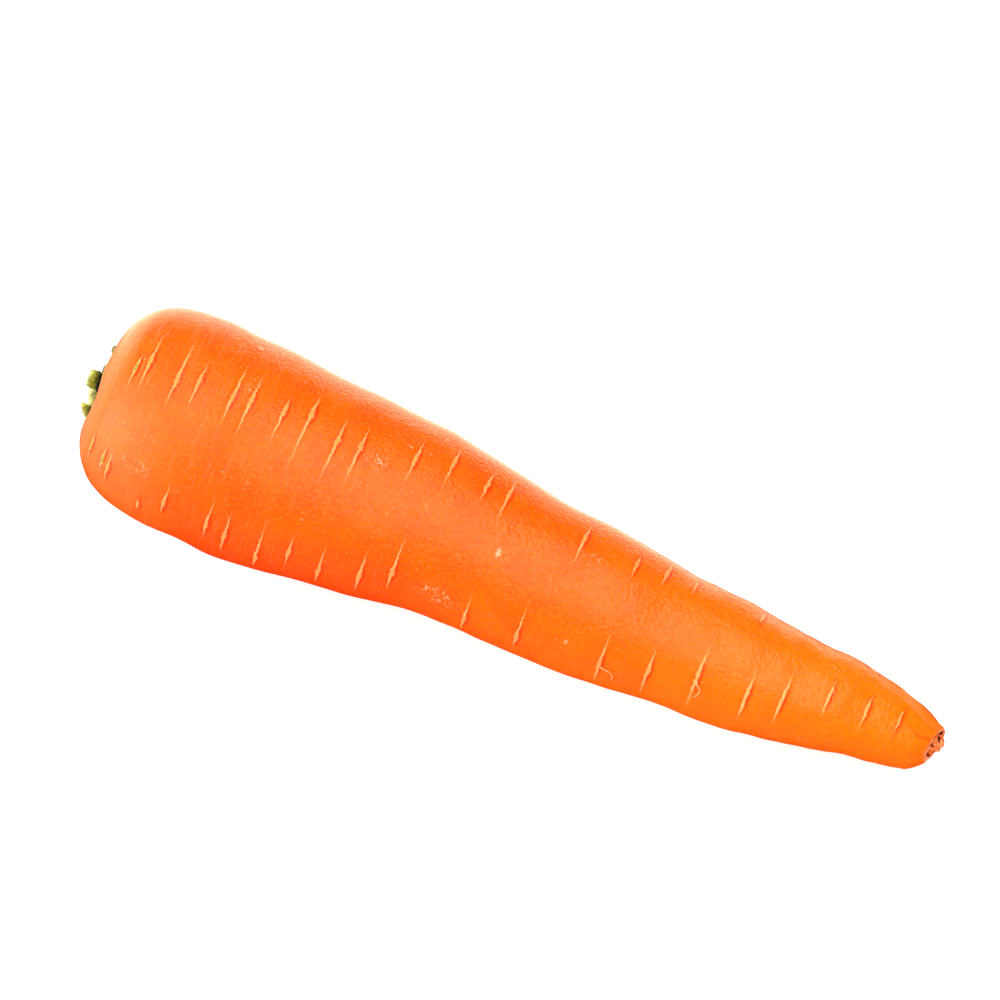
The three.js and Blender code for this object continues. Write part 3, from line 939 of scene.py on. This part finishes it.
def skin_material():
    material, tree = new_material("carrot_skin")
    place = attribute_vector(tree, "root_place")
    width, green, tan = attribute_parts(tree, "scar_kind")
    scuffed, broken, pit_shade_mask = attribute_parts(tree, "marks")
    flank_shade, shoulder_highlight, nicked = attribute_parts(tree, "tones")
    station = add_node(tree, "ShaderNodeSeparateXYZ", None, Vector=place).outputs[0]
    stroke = ramp(tree, station, *STROKES_FROM)
    scar = use_group(tree, scar_masks, Place=place, Wobble=0.6, Scar_Width=width,
                     Scar_Place=attribute_vector(tree, "scar_place"), Stroke=stroke)
    grain = use_group(tree, tissue, Place=place, Mottle_Scale=0.16, Grain_Scale=1.5,
                      Fleck_Share=0.11)
    ringed = stretched_place(tree, place, (1.0, 0.09, 0.09))
    streaks = ramp(tree, noise_value(tree, ringed, 1.5, 4.0, 0.6), 0.5, 0.75)
    colour = orange_layers(tree, place, station, flank_shade, grain)
    colour, crease_shade = crown_layers(tree, place, station, streaks, shoulder_highlight, colour)
    colour = mix_colour(tree, times(tree, grain.outputs["Flecks"], 0.6), colour, SCAR_PALE)
    colour = worn_layers(tree, place, scuffed, nicked, colour)
    colour = scar_layers(tree, place, scar, stroke, green, tan, colour)
    colour = tip_layers(tree, place, crease_shade, broken, pit_shade_mask, colour)
    dull = ramp(tree, maths(tree, "MAXIMUM", scar.outputs["Line"], broken), 0.0, 1.0, 0.24, 0.65)
    height = skin_height(tree, place, station, streaks, grain, scar)
    moist = ramp(tree, station, *DRYING, 0.17, 0.1)
    surface(tree, Base_Color=colour, Roughness=dull, Normal=bump_normal(tree, height, 1.0, 0.0003),
            IOR=1.4, Specular_IOR_Level=moist, Subsurface_Weight=0.35, Subsurface_Scale=0.0012,
            Subsurface_Radius=(1.0, 0.25, 0.06))
    return material


carrot_skin = skin_material()
print("material:", carrot_skin.name, "with", len(carrot_skin.node_tree.nodes), "nodes")

# %% [markdown]
# ## Scuffs, nicks and tones
# Washing and packing rub the skin pale in a few places. Each scuff is a soft spot: its station, its
# turn, its half length and its half width. The material draws short curled scratches in it. A nick
# is a smaller spot of the same kind, where the skin is torn. The rest of the masks say where the
# skin changes colour: the scars near the crown keep green eyes, and each scar's core is more or
# less tan by a seeded draw, with the lower ones made tanner as painted shade. The lower flank is
# painted redder as shade, the shoulder and the rim are painted paler as a highlight, and the
# collar and the inside of the hollow each have a mask.

# %% Scuffs and nicks
SCUFFS = [
    (13.5, -54, 3.0, 1.6),
    (27.5, 14, 1.2, 2.4),
    (55.0, 4, 2.0, 1.8),
    (61.0, 24, 3.6, 1.2),
    (64.0, 44, 4.5, 1.2),
    (75.0, -67, 4.2, 2.2),
    (30.0, 50, 2.0, 1.0),
    (100.0, 12, 3.0, 1.0),
    (150.0, 20, 1.6, 1.2),
    (45.0, 140, 4.0, 3.0),
    (98.0, 200, 5.0, 2.5),
]
NICKS = [
    (25.7, 45.5, 0.6, 0.9),
    (83.1, -17, 0.55, 1.15),
    (101.3, -57.5, 0.5, 0.6),
    (48.0, 165, 0.6, 1.2),
]


def spots_mask(spots):
    """From 0 to 1 over the net: how much each point lies in one of the spots."""
    mask = np.zeros(net.shape[:2])
    for station, turn, long, wide in spots:
        around = swing_from(turns[None, :], turn) * rings[:, None, 1]
        mask = np.maximum(mask, bell(rings[:, None, 0] - station, long) * bell(around, wide))
    return mask


scuffed = spots_mask(SCUFFS)
nicked = spots_mask(NICKS)
print("scuffed points:", int((scuffed > 0.3).sum()))

# %% Tones
GREEN_UNTIL = 7.6
TAN_SEED = 31
LOWER_SCAR_SHADE_TAN = 0.6
LOWEST_TURN = -130
FLANK_TURN = -105
FLANK_WIDTH = 48
FLANK_AT_TAIL = 0.4
FLANK_GROWS = (12, 30)
FLANK_FADES = (58, 85)
FLANK_TAIL_GROWS = (125, 148)
SHOULDER_TURN = -52
SHOULDER_WIDTH = 44
SHOULDER_HIGHLIGHT_SHARE = 0.48
SHOULDER_LONG = 26
RIM_HIGHLIGHT_SHARE = 0.85
RIM_LONG = 6
COLLAR_PALENESS = 0.8
COLLAR_SPREAD = 0.9
INSIDE_EDGE = (-1.6, -0.3)

greenish = (scars[scar_number, 0] < GREEN_UNTIL) * 1.0
tan_draws = seeded_draws(TAN_SEED)
tan_and_lower_shade = np.array([next(tan_draws) for _ in scars])
# Partly painted shade: the tan share is a seeded draw, raised on the scars of the lower side.
low = (scars[:, 1] < SIDE_TURN) & (scars[:, 1] > LOWEST_TURN)
tan_and_lower_shade = np.where(low, LOWER_SCAR_SHADE_TAN + (1 - LOWER_SCAR_SHADE_TAN) * tan_and_lower_shade, tan_and_lower_shade)[scar_number]
station = rings[:, None, 0]
thick_part = smoothstep(station, *FLANK_GROWS) * (1 - smoothstep(station, *FLANK_FADES))
# Painted shade: a redder lower flank on the thick part and again towards the tail.
flank_shade = bell(swing_from(turns[None, :], FLANK_TURN), math.radians(FLANK_WIDTH))
flank_shade = flank_shade * (thick_part + FLANK_AT_TAIL * smoothstep(station, *FLANK_TAIL_GROWS))
# Painted highlight: a paler band on the front of the shoulder, and the rim paler all round.
side = bell(swing_from(turns[None, :], SHOULDER_TURN), math.radians(SHOULDER_WIDTH))
shoulder_highlight = SHOULDER_HIGHLIGHT_SHARE * side * (1 - smoothstep(station, 0, SHOULDER_LONG))
shoulder_highlight = np.maximum(shoulder_highlight, RIM_HIGHLIGHT_SHARE * (1 - smoothstep(station, 0, RIM_LONG)))
all_round = from_rim + 0 * turns
collar = COLLAR_PALENESS * bell(all_round, COLLAR_SPREAD)
inside = 1 - smoothstep(all_round, *INSIDE_EDGE)
print("scars with a green eye:", int((scars[:, 0] < GREEN_UNTIL).sum()))

# %% [markdown]
# ## The root, finished
# The mesh gets its material and its attributes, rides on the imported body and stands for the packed
# root, which is then hidden.

# %% Taproot
BODY = next(iter(frame["bodies"]))
root_faces = net_faces(*net.shape[:2])
taproot = mesh_object("taproot_skin", closed_points(skin_points), root_faces, carrot_skin)
store_vectors(taproot, "root_place", closed_points(net))
store_vectors(taproot, "scar_place", closed_points(scar_place[..., :3]))
masks = {
    "scar_kind": (scar_width, greenish, tan_and_lower_shade),
    "marks": (scuffed, past_face, pit_shading),
    "tones": (flank_shade, shoulder_highlight, nicked),
    "crown_tones": (collar, inside, creases),
}
for name, parts in masks.items():
    store_vectors(taproot, name, closed_points(np.stack(parts, axis=-1)))
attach(taproot, BODY)
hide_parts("taproot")
print("root faces:", len(taproot.data.polygons), "triangles about", 2 * len(taproot.data.polygons))

# %% [markdown]
# ## The cut leaf stalks
# A carrot's leaves grow in a spiral from its crown. After the cut, each stalk leaves a stub that is
# a crescent in section. The list gives distance from the axis, turn, width, thickness, height over
# the rim, and slant: how much lower one side of the cut is than the other. Rings near the cut are a
# depth below it, a scale and a lean, and the rings of the bark are shares of the stub's length. The
# stubs and the plate that they grow from are melted into one body by a voxel remesh, as they are
# grown together on the real crown.

# %% Stalk list
STALKS = [
    (1.9, -14, 3.7, 3.3, 3.1, 0.6),
    (4.3, -60, 3.3, 2.2, 1.6, 0.9),
    (6.1, -90, 4.6, 1.7, 2.1, 1.5),
    (4.9, 24, 4.4, 2.1, 0.9, -0.5),
    (7.1, 68, 1.9, 1.5, 1.1, 0.4),
    (3.7, 92, 3.8, 2.3, 0.8, -0.7),
    (6.7, 118, 4.6, 1.9, 0.1, 0.6),
    (6.2, 166, 5.0, 2.1, 0.7, 0.9),
    (3.7, -164, 4.0, 2.3, 1.3, -0.6),
    (6.5, -136, 4.8, 2.0, 0.2, 0.4),
    (1.3, 150, 2.6, 2.3, 1.9, 0.8),
    (2.7, -106, 2.8, 2.2, 0.8, -0.5),
    (6.7, -16, 4.6, 1.8, 0.5, 0.5),
    (6.6, 30, 3.4, 1.4, -0.3, -0.4),
]
CUT_RINGS = [(0.0, 0.15, 0.1), (0.04, 0.5, 0.1), (0.12, 0.78, 0.1), (0.35, 0.94, 0.08),
             (0.9, 1.0, 0.04)]
BARK_RINGS = (0.4, 0.6, 0.8, 1.0)
BARK_SPREAD = 0.12
BARK_LEAN = -0.3
PLATE_TOP = 2.2
PLATE_BASE = 3.5
PLATE_RADIUS = 8.3
PLATE_OUTLINE = [(PLATE_TOP - 0.7, 0.4), (PLATE_TOP - 0.5, 4.0), (PLATE_TOP, 7.4),
                 (2.6, PLATE_RADIUS), (2.9, PLATE_RADIUS), (PLATE_BASE, 7.2), (PLATE_BASE, 0.4)]
STUB_ROOT = 0.5
STALK_SIDES = 40
FIBRES = 9
FIBRE_HEIGHT = 0.035
TIGHTEST_CURL = 2.5


def cut_lowering(slant, width, sideways):
    """How far a stub's slanted cut lies below its highest edge, in millimetres."""
    return 0.5 * np.abs(slant) - slant * sideways / width


def stalk_grid(distance, turn, width, thickness, height, slant):
    """Rings of points round one stub, from its cut down into the plate."""
    turn = math.radians(turn)
    outward = np.array([0.0, math.sin(turn), math.cos(turn)])
    sideward = np.array([0.0, math.cos(turn), -math.sin(turn)])
    angles = 2 * np.pi * np.arange(STALK_SIDES) / STALK_SIDES
    long = PLATE_TOP + STUB_ROOT + height
    bark = [(share * long, 1.0 + BARK_SPREAD * share, BARK_LEAN * share) for share in BARK_RINGS]
    grid = []
    for depth, scale, lean in CUT_RINGS + bark:
        ridged = scale * (1 + FIBRE_HEIGHT * np.sin(FIBRES * angles + 3 * distance))
        sideways = 0.5 * width * ridged * np.sin(angles)
        curl = -(sideways**2) / (2 * max(distance, TIGHTEST_CURL))
        radial = distance + lean + curl + 0.5 * thickness * ridged * np.cos(angles)
        ring = np.outer(radial, outward) + np.outer(sideways, sideward)
        above = 1 - depth / long
        ring[:, 0] = depth - height + above * cut_lowering(slant, width, sideways)
        grid.append(ring)
    return np.array(grid)


def plate_grid():
    """Rings of points round the plate that the stubs grow from."""
    angles = 2 * np.pi * np.arange(STALK_SIDES) / STALK_SIDES
    circle = np.stack([0 * angles, np.sin(angles), np.cos(angles)], -1)
    return np.array([radius * circle + (station, 0, 0) for station, radius in PLATE_OUTLINE])


print(len(STALKS), "stubs, the tallest", max(row[4] for row in STALKS), "mm over the rim")

# %% [markdown]
# ## Melting the stubs together
# The remesh walks the space in small cubes and keeps one skin round all that overlaps. The cubes
# are a sixth of a millimetre, fine enough for the ridges on each stub.

# %% Crown body
VOXEL = 0.00016
SOFTENING = 2


def joined_grids(grids):
    points, faces = [], []
    for grid in grids:
        start = sum(len(part) for part in points)
        points.append(closed_points(grid))
        faces += [tuple(start + corner for corner in face) for face in net_faces(*grid.shape[:2])]
    return np.concatenate(points), faces


def applied(thing):
    """The mesh of thing with its modifiers worked in, as a new mesh."""
    graph = bpy.context.evaluated_depsgraph_get()
    return bpy.data.meshes.new_from_object(thing.evaluated_get(graph))


def melted(name, grids, material):
    points, faces = joined_grids(grids)
    rough = mesh_object(name + "_rough", laid(points), faces, material)
    remesh = rough.modifiers.new("melt", "REMESH")
    remesh.mode = "VOXEL"
    remesh.voxel_size = VOXEL
    smooth = rough.modifiers.new("soften", "SMOOTH")
    smooth.iterations = SOFTENING
    mesh = applied(rough)
    bpy.data.objects.remove(rough)
    mesh.name = name
    mesh.shade_smooth()
    return placed_object(name, mesh)


# %% [markdown]
# ## Stalk colours
# Each stub dries on its own: some stay pale green and some turn olive. The low stubs are painted
# nearly black as shade, and every stub is painted darker olive below its cut and black and brown
# deep in the hollow, also as shade. The mesh carries a shade for each stub, from 0 for pale to over
# 1 for black, how far a point lies below the cut, and how deep it lies in the hollow. Pale stubs
# have a dry, creamy cut. The fibres run along the stalk, so their noise is stretched that way.

# %% Stalk material
STALK_PALE = tint("DEDA90")
STALK_GREEN = tint("B0A808")
STALK_OLIVE = tint("5A5402")
STALK_SHADE_BLACK = tint("020302")
STALK_SHADE_BROWN = tint("30280C")
CUT_DRY = tint("F0E8A8")


def stalk_material():
    material, tree = new_material("carrot_stalks")
    place = attribute_vector(tree, "root_place")
    shade, below_cut, deep = attribute_parts(tree, "stalk_place")
    fibres = noise_value(tree, stretched_place(tree, place, (0.25, 1.0, 1.0)), 2.4, 3.0, 0.6)
    grain = use_group(tree, tissue, Place=place, Mottle_Scale=0.5, Grain_Scale=3.0, Fleck_Share=0.2)
    colour = mix_colour(tree, ramp(tree, shade, 0.0, 0.5), STALK_PALE, STALK_GREEN)
    colour = mix_colour(tree, ramp(tree, shade, 0.5, 1.0), colour, STALK_OLIVE)
    colour = mix_colour(tree, ramp(tree, fibres, 0.42, 0.62, 0.0, 0.45), colour, STALK_OLIVE)
    colour = mix_colour(tree, times(tree, grain.outputs["Mottle"], 0.3), colour, STALK_PALE)
    cut = ramp(tree, below_cut, 0.0, 0.9, 1.0, 0.0)
    cut = times(tree, cut, ramp(tree, fibres, 0.35, 0.65, 0.45, 0.95))
    cut = times(tree, cut, ramp(tree, shade, 0.6, 0.95, 1.0, 0.1))
    colour = mix_colour(tree, cut, colour, CUT_DRY)
    # Painted shade: stubs turn olive further below the cut, towards the hollow.
    colour = mix_colour(tree, ramp(tree, below_cut, 0.5, 1.7, 0.0, 0.85), colour, STALK_OLIVE)
    patches = ramp(tree, noise_value(tree, place, 0.8, 2.0), 0.52, 0.66, 0.0, 0.6)
    colour = mix_colour(tree, patches, colour, STALK_OLIVE)
    # Painted shade: stubs with a shade over 0.95 go nearly black.
    colour = mix_colour(tree, ramp(tree, shade, 0.95, 1.3), colour, STALK_SHADE_BLACK)
    # Painted shade: deep in the hollow the stubs and the plate go black and brown.
    shade_mottle = ramp(tree, noise_value(tree, place, 1.3, 3.0, 0.6), 0.45, 0.7)
    floor = mix_colour(tree, shade_mottle, STALK_SHADE_BLACK, STALK_SHADE_BROWN)
    colour = mix_colour(tree, deep, colour, floor)
    height = maths(tree, "ADD", fibres, grain.outputs["Height"])
    rough = maths(tree, "MAXIMUM", ramp(tree, grain.outputs["Mottle"], 0.0, 1.0, 0.5, 0.7), deep)
    surface(tree, Base_Color=colour, Roughness=rough, Normal=bump_normal(tree, height, 0.6, 0.0002),
            Subsurface_Weight=0.2, Subsurface_Scale=0.0008, Subsurface_Radius=(0.8, 1.0, 0.3),
            Specular_IOR_Level=0.1)
    return material


carrot_stalks = stalk_material()
grown = [plate_grid()] + [stalk_grid(*row) for row in STALKS]
leaf_stalks = melted("leaf_stalk_stubs", grown, carrot_stalks)
print("crown faces:", len(leaf_stalks.data.polygons))

# %% [markdown]
# ## Reading the stubs back
# Cut stubs shrivel as they dry, so noise pushes the skin of the crown in and out. The remesh drops
# all numbers, so each point finds its stub again: the one whose middle is nearest for its size.
# From that come its shade, its distance below the slanted cut and its depth in the crown.

# %% Stalk attributes
STUB_LUMPS = 0.45
STUB_LUMP_SIZE = 1.5
STUB_FRAY = 0.26
STUB_FRAY_SIZE = 0.5
DEEP_BELOW_RIM = (0.2, 1.8)
DEEP_BELOW_CUT = (1.5, 2.3)
# Shades over 0.95 paint the low stubs nearly black, as shade in the hollow.
STALK_SHADES = (0.55, 0.15, 0.4, 1.0, 0.95, 0.9, 0.7, 0.5, 0.4, 0.8, 0.5, 0.9, 1.4, 1.2)


def read_vectors(thing, name):
    flat = np.empty(len(thing.data.vertices) * 3)
    thing.data.vertices.foreach_get(name, flat)
    return flat.reshape(-1, 3)


def own_axes(thing):
    """A mesh's points in the root's own axes, in millimetres."""
    x, y, z = (read_vectors(thing, "co") / MM - shift).T
    station = x * math.cos(PITCH) - z * math.sin(PITCH)
    return np.stack([station, y, z * math.cos(PITCH) + x * math.sin(PITCH)], axis=-1)


def stalk_places(points):
    """For each point: its stub's shade, mm below its cut, and how deep it lies from 0 to 1."""
    rows = np.array(STALKS)
    around = np.radians(rows[:, 1])
    middles = np.stack([rows[:, 0] * np.sin(around), rows[:, 0] * np.cos(around)], axis=-1)
    away = np.linalg.norm(points[:, None, 1:] - middles[None], axis=-1) / (rows[:, 2] + rows[:, 3])
    nearest = away.argmin(axis=1)
    shade = np.array(STALK_SHADES)[nearest]
    turn = np.radians(rows[nearest, 1])
    sideways = points[:, 1] * np.cos(turn) - points[:, 2] * np.sin(turn)
    lowering = cut_lowering(rows[nearest, 5], rows[nearest, 2], sideways)
    below_cut = points[:, 0] + rows[nearest, 4] - lowering
    deep = np.maximum(smoothstep(points[:, 0], *DEEP_BELOW_RIM),
                      smoothstep(below_cut, *DEEP_BELOW_CUT))
    return np.stack([shade, below_cut, deep], axis=-1)


def roughened(thing):
    """Push a mesh's points along their normals by noise, and give them back in the own axes."""
    points = own_axes(thing)
    lumps = STUB_LUMPS * noise_field(points, STUB_LUMP_SIZE, 2.2)
    lumps = lumps + STUB_FRAY * noise_field(points, STUB_FRAY_SIZE, 7.4)
    moved = read_vectors(thing, "co") + read_vectors(thing, "normal") * lumps[:, None] * MM
    thing.data.vertices.foreach_set("co", moved.ravel())
    thing.data.update()
    return own_axes(thing)


crown_points = roughened(leaf_stalks)
store_vectors(leaf_stalks, "root_place", crown_points)
store_vectors(leaf_stalks, "stalk_place", stalk_places(crown_points))
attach(leaf_stalks, BODY)
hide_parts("leaf_stalks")
print("crown from", crown_points.min(axis=0).round(2), "to", crown_points.max(axis=0).round(2))

# %% [markdown]
# ## Dead rootlets
# Here and there a thread of side root is still in its scar, curled on the skin. Each is a thin
# tapered tube. The list gives its scar's place in the lower row, its thickness, and its path from
# that scar: millimetres onward and millimetres to the back.

# %% Rootlets
ROOTLETS = [
    (16, 0.24, [(0.2, -1.0), (0.5, -1.7), (1.3, -2.3), (1.45, -3.1), (1.2, -4.0), (0.65, -4.7)]),
    (14, 0.17, [(0.1, -0.6), (1.3, -0.9), (2.5, -1.1), (3.1, -1.9), (3.2, -3.0), (3.0, -3.8)]),
]
TUBE_SIDES = 8
TUBE_RINGS = 40
LOWEST_RISE = 0.15
MORE_RISE = 0.25
RISE_ARC = 3.0
THIN_END = 0.35


def skin_place(station, turn, height):
    """A point over the skin, in the root's own axes."""
    radius, bow = skin_at(station)
    return section_points(np.array(station), radius + height, bow, np.array(turn))


def rootlet_grid(lower_scar, thickness, path):
    """Rings of points round one thread, from its scar to its thin end."""
    station, turn = measured_scars[len(UPPER_SCARS) + lower_scar][:2]
    radius, _ = skin_at(station)
    places = through_points(path, np.linspace(0, len(path) - 1, TUBE_RINGS))
    height = LOWEST_RISE + MORE_RISE * np.sin(np.linspace(0, RISE_ARC, TUBE_RINGS))
    spine = np.array([skin_place(station + onward, math.radians(turn) + back / radius, rise)
                      for (onward, back), rise in zip(places, height)])
    ahead = np.gradient(spine, axis=0)
    ahead /= np.linalg.norm(ahead, axis=1, keepdims=True)
    up = spine * np.array([0.0, 1.0, 1.0])
    side = np.cross(ahead, up)
    side /= np.linalg.norm(side, axis=1, keepdims=True)
    lift = np.cross(side, ahead)
    angles = 2 * np.pi * np.arange(TUBE_SIDES) / TUBE_SIDES
    half = thickness * np.linspace(1.0, THIN_END, TUBE_RINGS)
    cosines, sines = np.cos(angles)[None, :, None], np.sin(angles)[None, :, None]
    ring = side[:, None] * cosines + lift[:, None] * sines
    return spine[:, None] + ring * half[:, None, None]


# %% Rootlet material
THREAD_ORANGE = tint("F08030")
THREAD_PALE = tint("F6B078")


def rootlet_material():
    material, tree = new_material("carrot_rootlets")
    place = add_node(tree, "ShaderNodeTexCoord").outputs["Object"]
    grain = use_group(tree, tissue, Place=place, Mottle_Scale=900.0, Grain_Scale=4000.0,
                      Fleck_Share=0.2)
    colour = mix_colour(tree, grain.outputs["Mottle"], THREAD_ORANGE, THREAD_PALE)
    normal = bump_normal(tree, grain.outputs["Height"], 0.3, 0.0001)
    surface(tree, Base_Color=colour, Roughness=0.6, Normal=normal, Subsurface_Weight=0.3,
            Subsurface_Scale=0.0005)
    return material


hair_points, hair_faces = joined_grids([rootlet_grid(*row) for row in ROOTLETS])
rootlets = mesh_object("dead_rootlets", laid(hair_points), hair_faces, rootlet_material())
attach(rootlets, BODY)
print(len(ROOTLETS), "rootlets")

# %% [markdown]
# ## Table and light
# A plain pale table, lit faintly from below as a light table is, carries the carrot. Some panels
# give only diffuse light and some only gloss, as a maker would place flags and cards: the sheen is
# a band along the back with a pale far edge, and the flanks keep their full colour.

# %% Table
TABLE_HALF = 3.0
TABLE_GREY = (0.60, 0.60, 0.60, 1)
TABLE_PALER = (0.62, 0.62, 0.62, 1)
WHITE = (1.0, 1.0, 1.0, 1.0)


def table_material():
    material, tree = new_material("pale_table")
    place = add_node(tree, "ShaderNodeTexCoord").outputs["Object"]
    cloud = noise_value(tree, place, 6.0, 3.0)
    colour = mix_colour(tree, cloud, TABLE_GREY, TABLE_PALER)
    surface(tree, Base_Color=colour, Roughness=0.9, Emission_Color=WHITE, Emission_Strength=0.6)
    return material


corners = [(-TABLE_HALF, -TABLE_HALF, 0), (TABLE_HALF, -TABLE_HALF, 0),
           (TABLE_HALF, TABLE_HALF, 0), (-TABLE_HALF, TABLE_HALF, 0)]
table = mesh_object("table", corners, [(0, 1, 2, 3)], table_material())
table.visible_glossy = False
print("table", 2 * TABLE_HALF, "m across")

# %% Light
CROWN_AIM = (-0.08, 0.0, 0.02)
WORLD_GLOW = 0.5


def soft_panel(name, place, size, radiance, gloss=True, diffuse=True, faces=(0.0, 0.0, 0.0)):
    """A soft panel that faces a point. Radiance is its brightness as seen from that point."""
    lamp = bpy.data.lights.new(name, "AREA")
    lamp.shape = "RECTANGLE"
    lamp.size, lamp.size_y = size
    lamp.energy = radiance * math.pi * size[0] * size[1]
    panel = placed_object(name, lamp)
    panel.location = place
    away = Vector(place) - Vector(faces)
    panel.rotation_euler = away.to_track_quat("Z", "Y").to_euler()
    panel.visible_glossy = gloss
    panel.visible_diffuse = diffuse
    panel.visible_camera = False
    return panel


overhead = soft_panel("overhead_panel", (0.16, 0.03, 0.80), (1.3, 0.25), 11.5, diffuse=False)
overhead.data.color = (1.0, 0.96, 0.70)
soft_panel("fringe_panel", (0.1, -0.52, 0.64), (1.3, 0.55), 1.0, diffuse=False)
soft_panel("key_panel", (-0.1, -0.05, 1.1), (1.2, 1.2), 4.0, gloss=False)
soft_panel("front_panel", (0.0, -0.75, 0.65), (1.8, 0.9), 0.4, gloss=False)
soft_panel("crown_fill", (-0.62, -0.22, 0.3), (0.5, 0.6), 2.5, gloss=False, faces=CROWN_AIM)
soft_panel("crown_panel", (-0.58, -0.34, 0.24), (0.5, 0.6), 4.5, diffuse=False, faces=CROWN_AIM)
back_card = soft_panel("back_card", (0.0, 0.112, 0.002), (1.4, 0.176), 3.3, diffuse=False,
                       faces=(0.0, 0.112, 1.0))
back_card.data.color = (1.0, 0.84, 0.60)
world = bpy.data.worlds.new("even_glow")
world.use_nodes = True
glow = world.node_tree.nodes["Background"]
glow.inputs["Color"].default_value = WHITE
glow.inputs["Strength"].default_value = WORLD_GLOW
bpy.context.scene.world = world
world.cycles_visibility.glossy = False
bpy.context.scene.view_settings.view_transform = "Standard"

# %% [markdown]
# ## The camera
# It stands four metres off with a very long lens, so that near and far parts keep their sizes. It
# aims at a station of the root and a little above its axis, as the camera sees it. The slope is the
# axis's own, from left down to right, in the camera's view.

# %% Camera
CAMERA_AZIMUTH = math.radians(23.5)
CAMERA_ELEVATION = math.radians(68.0)
CAMERA_DISTANCE = 4.0
PICTURE_WIDTH = 0.190
AIM_STATION = 78.27
AIM_ABOVE_AXIS = 10.4
AXIS_SLOPE = math.radians(23.7)
SENSOR = 36.0

back = Vector((math.sin(CAMERA_AZIMUTH) * math.cos(CAMERA_ELEVATION),
               -math.cos(CAMERA_AZIMUTH) * math.cos(CAMERA_ELEVATION),
               math.sin(CAMERA_ELEVATION)))
turned = back.to_track_quat("Z", "Y")
right, up = turned @ Vector((1, 0, 0)), turned @ Vector((0, 1, 0))
aside = right * math.sin(AXIS_SLOPE) + up * math.cos(AXIS_SLOPE)
aim = Vector(laid([AIM_STATION, 0.0, 0.0])) + aside * AIM_ABOVE_AXIS * MM
camera = placed_object("camera", bpy.data.cameras.new("camera"))
camera.location = aim + back * CAMERA_DISTANCE
camera.rotation_euler = turned.to_euler()
camera.data.lens = SENSOR * CAMERA_DISTANCE / PICTURE_WIDTH
bpy.context.scene.camera = camera
print("lens", round(camera.data.lens), "mm")
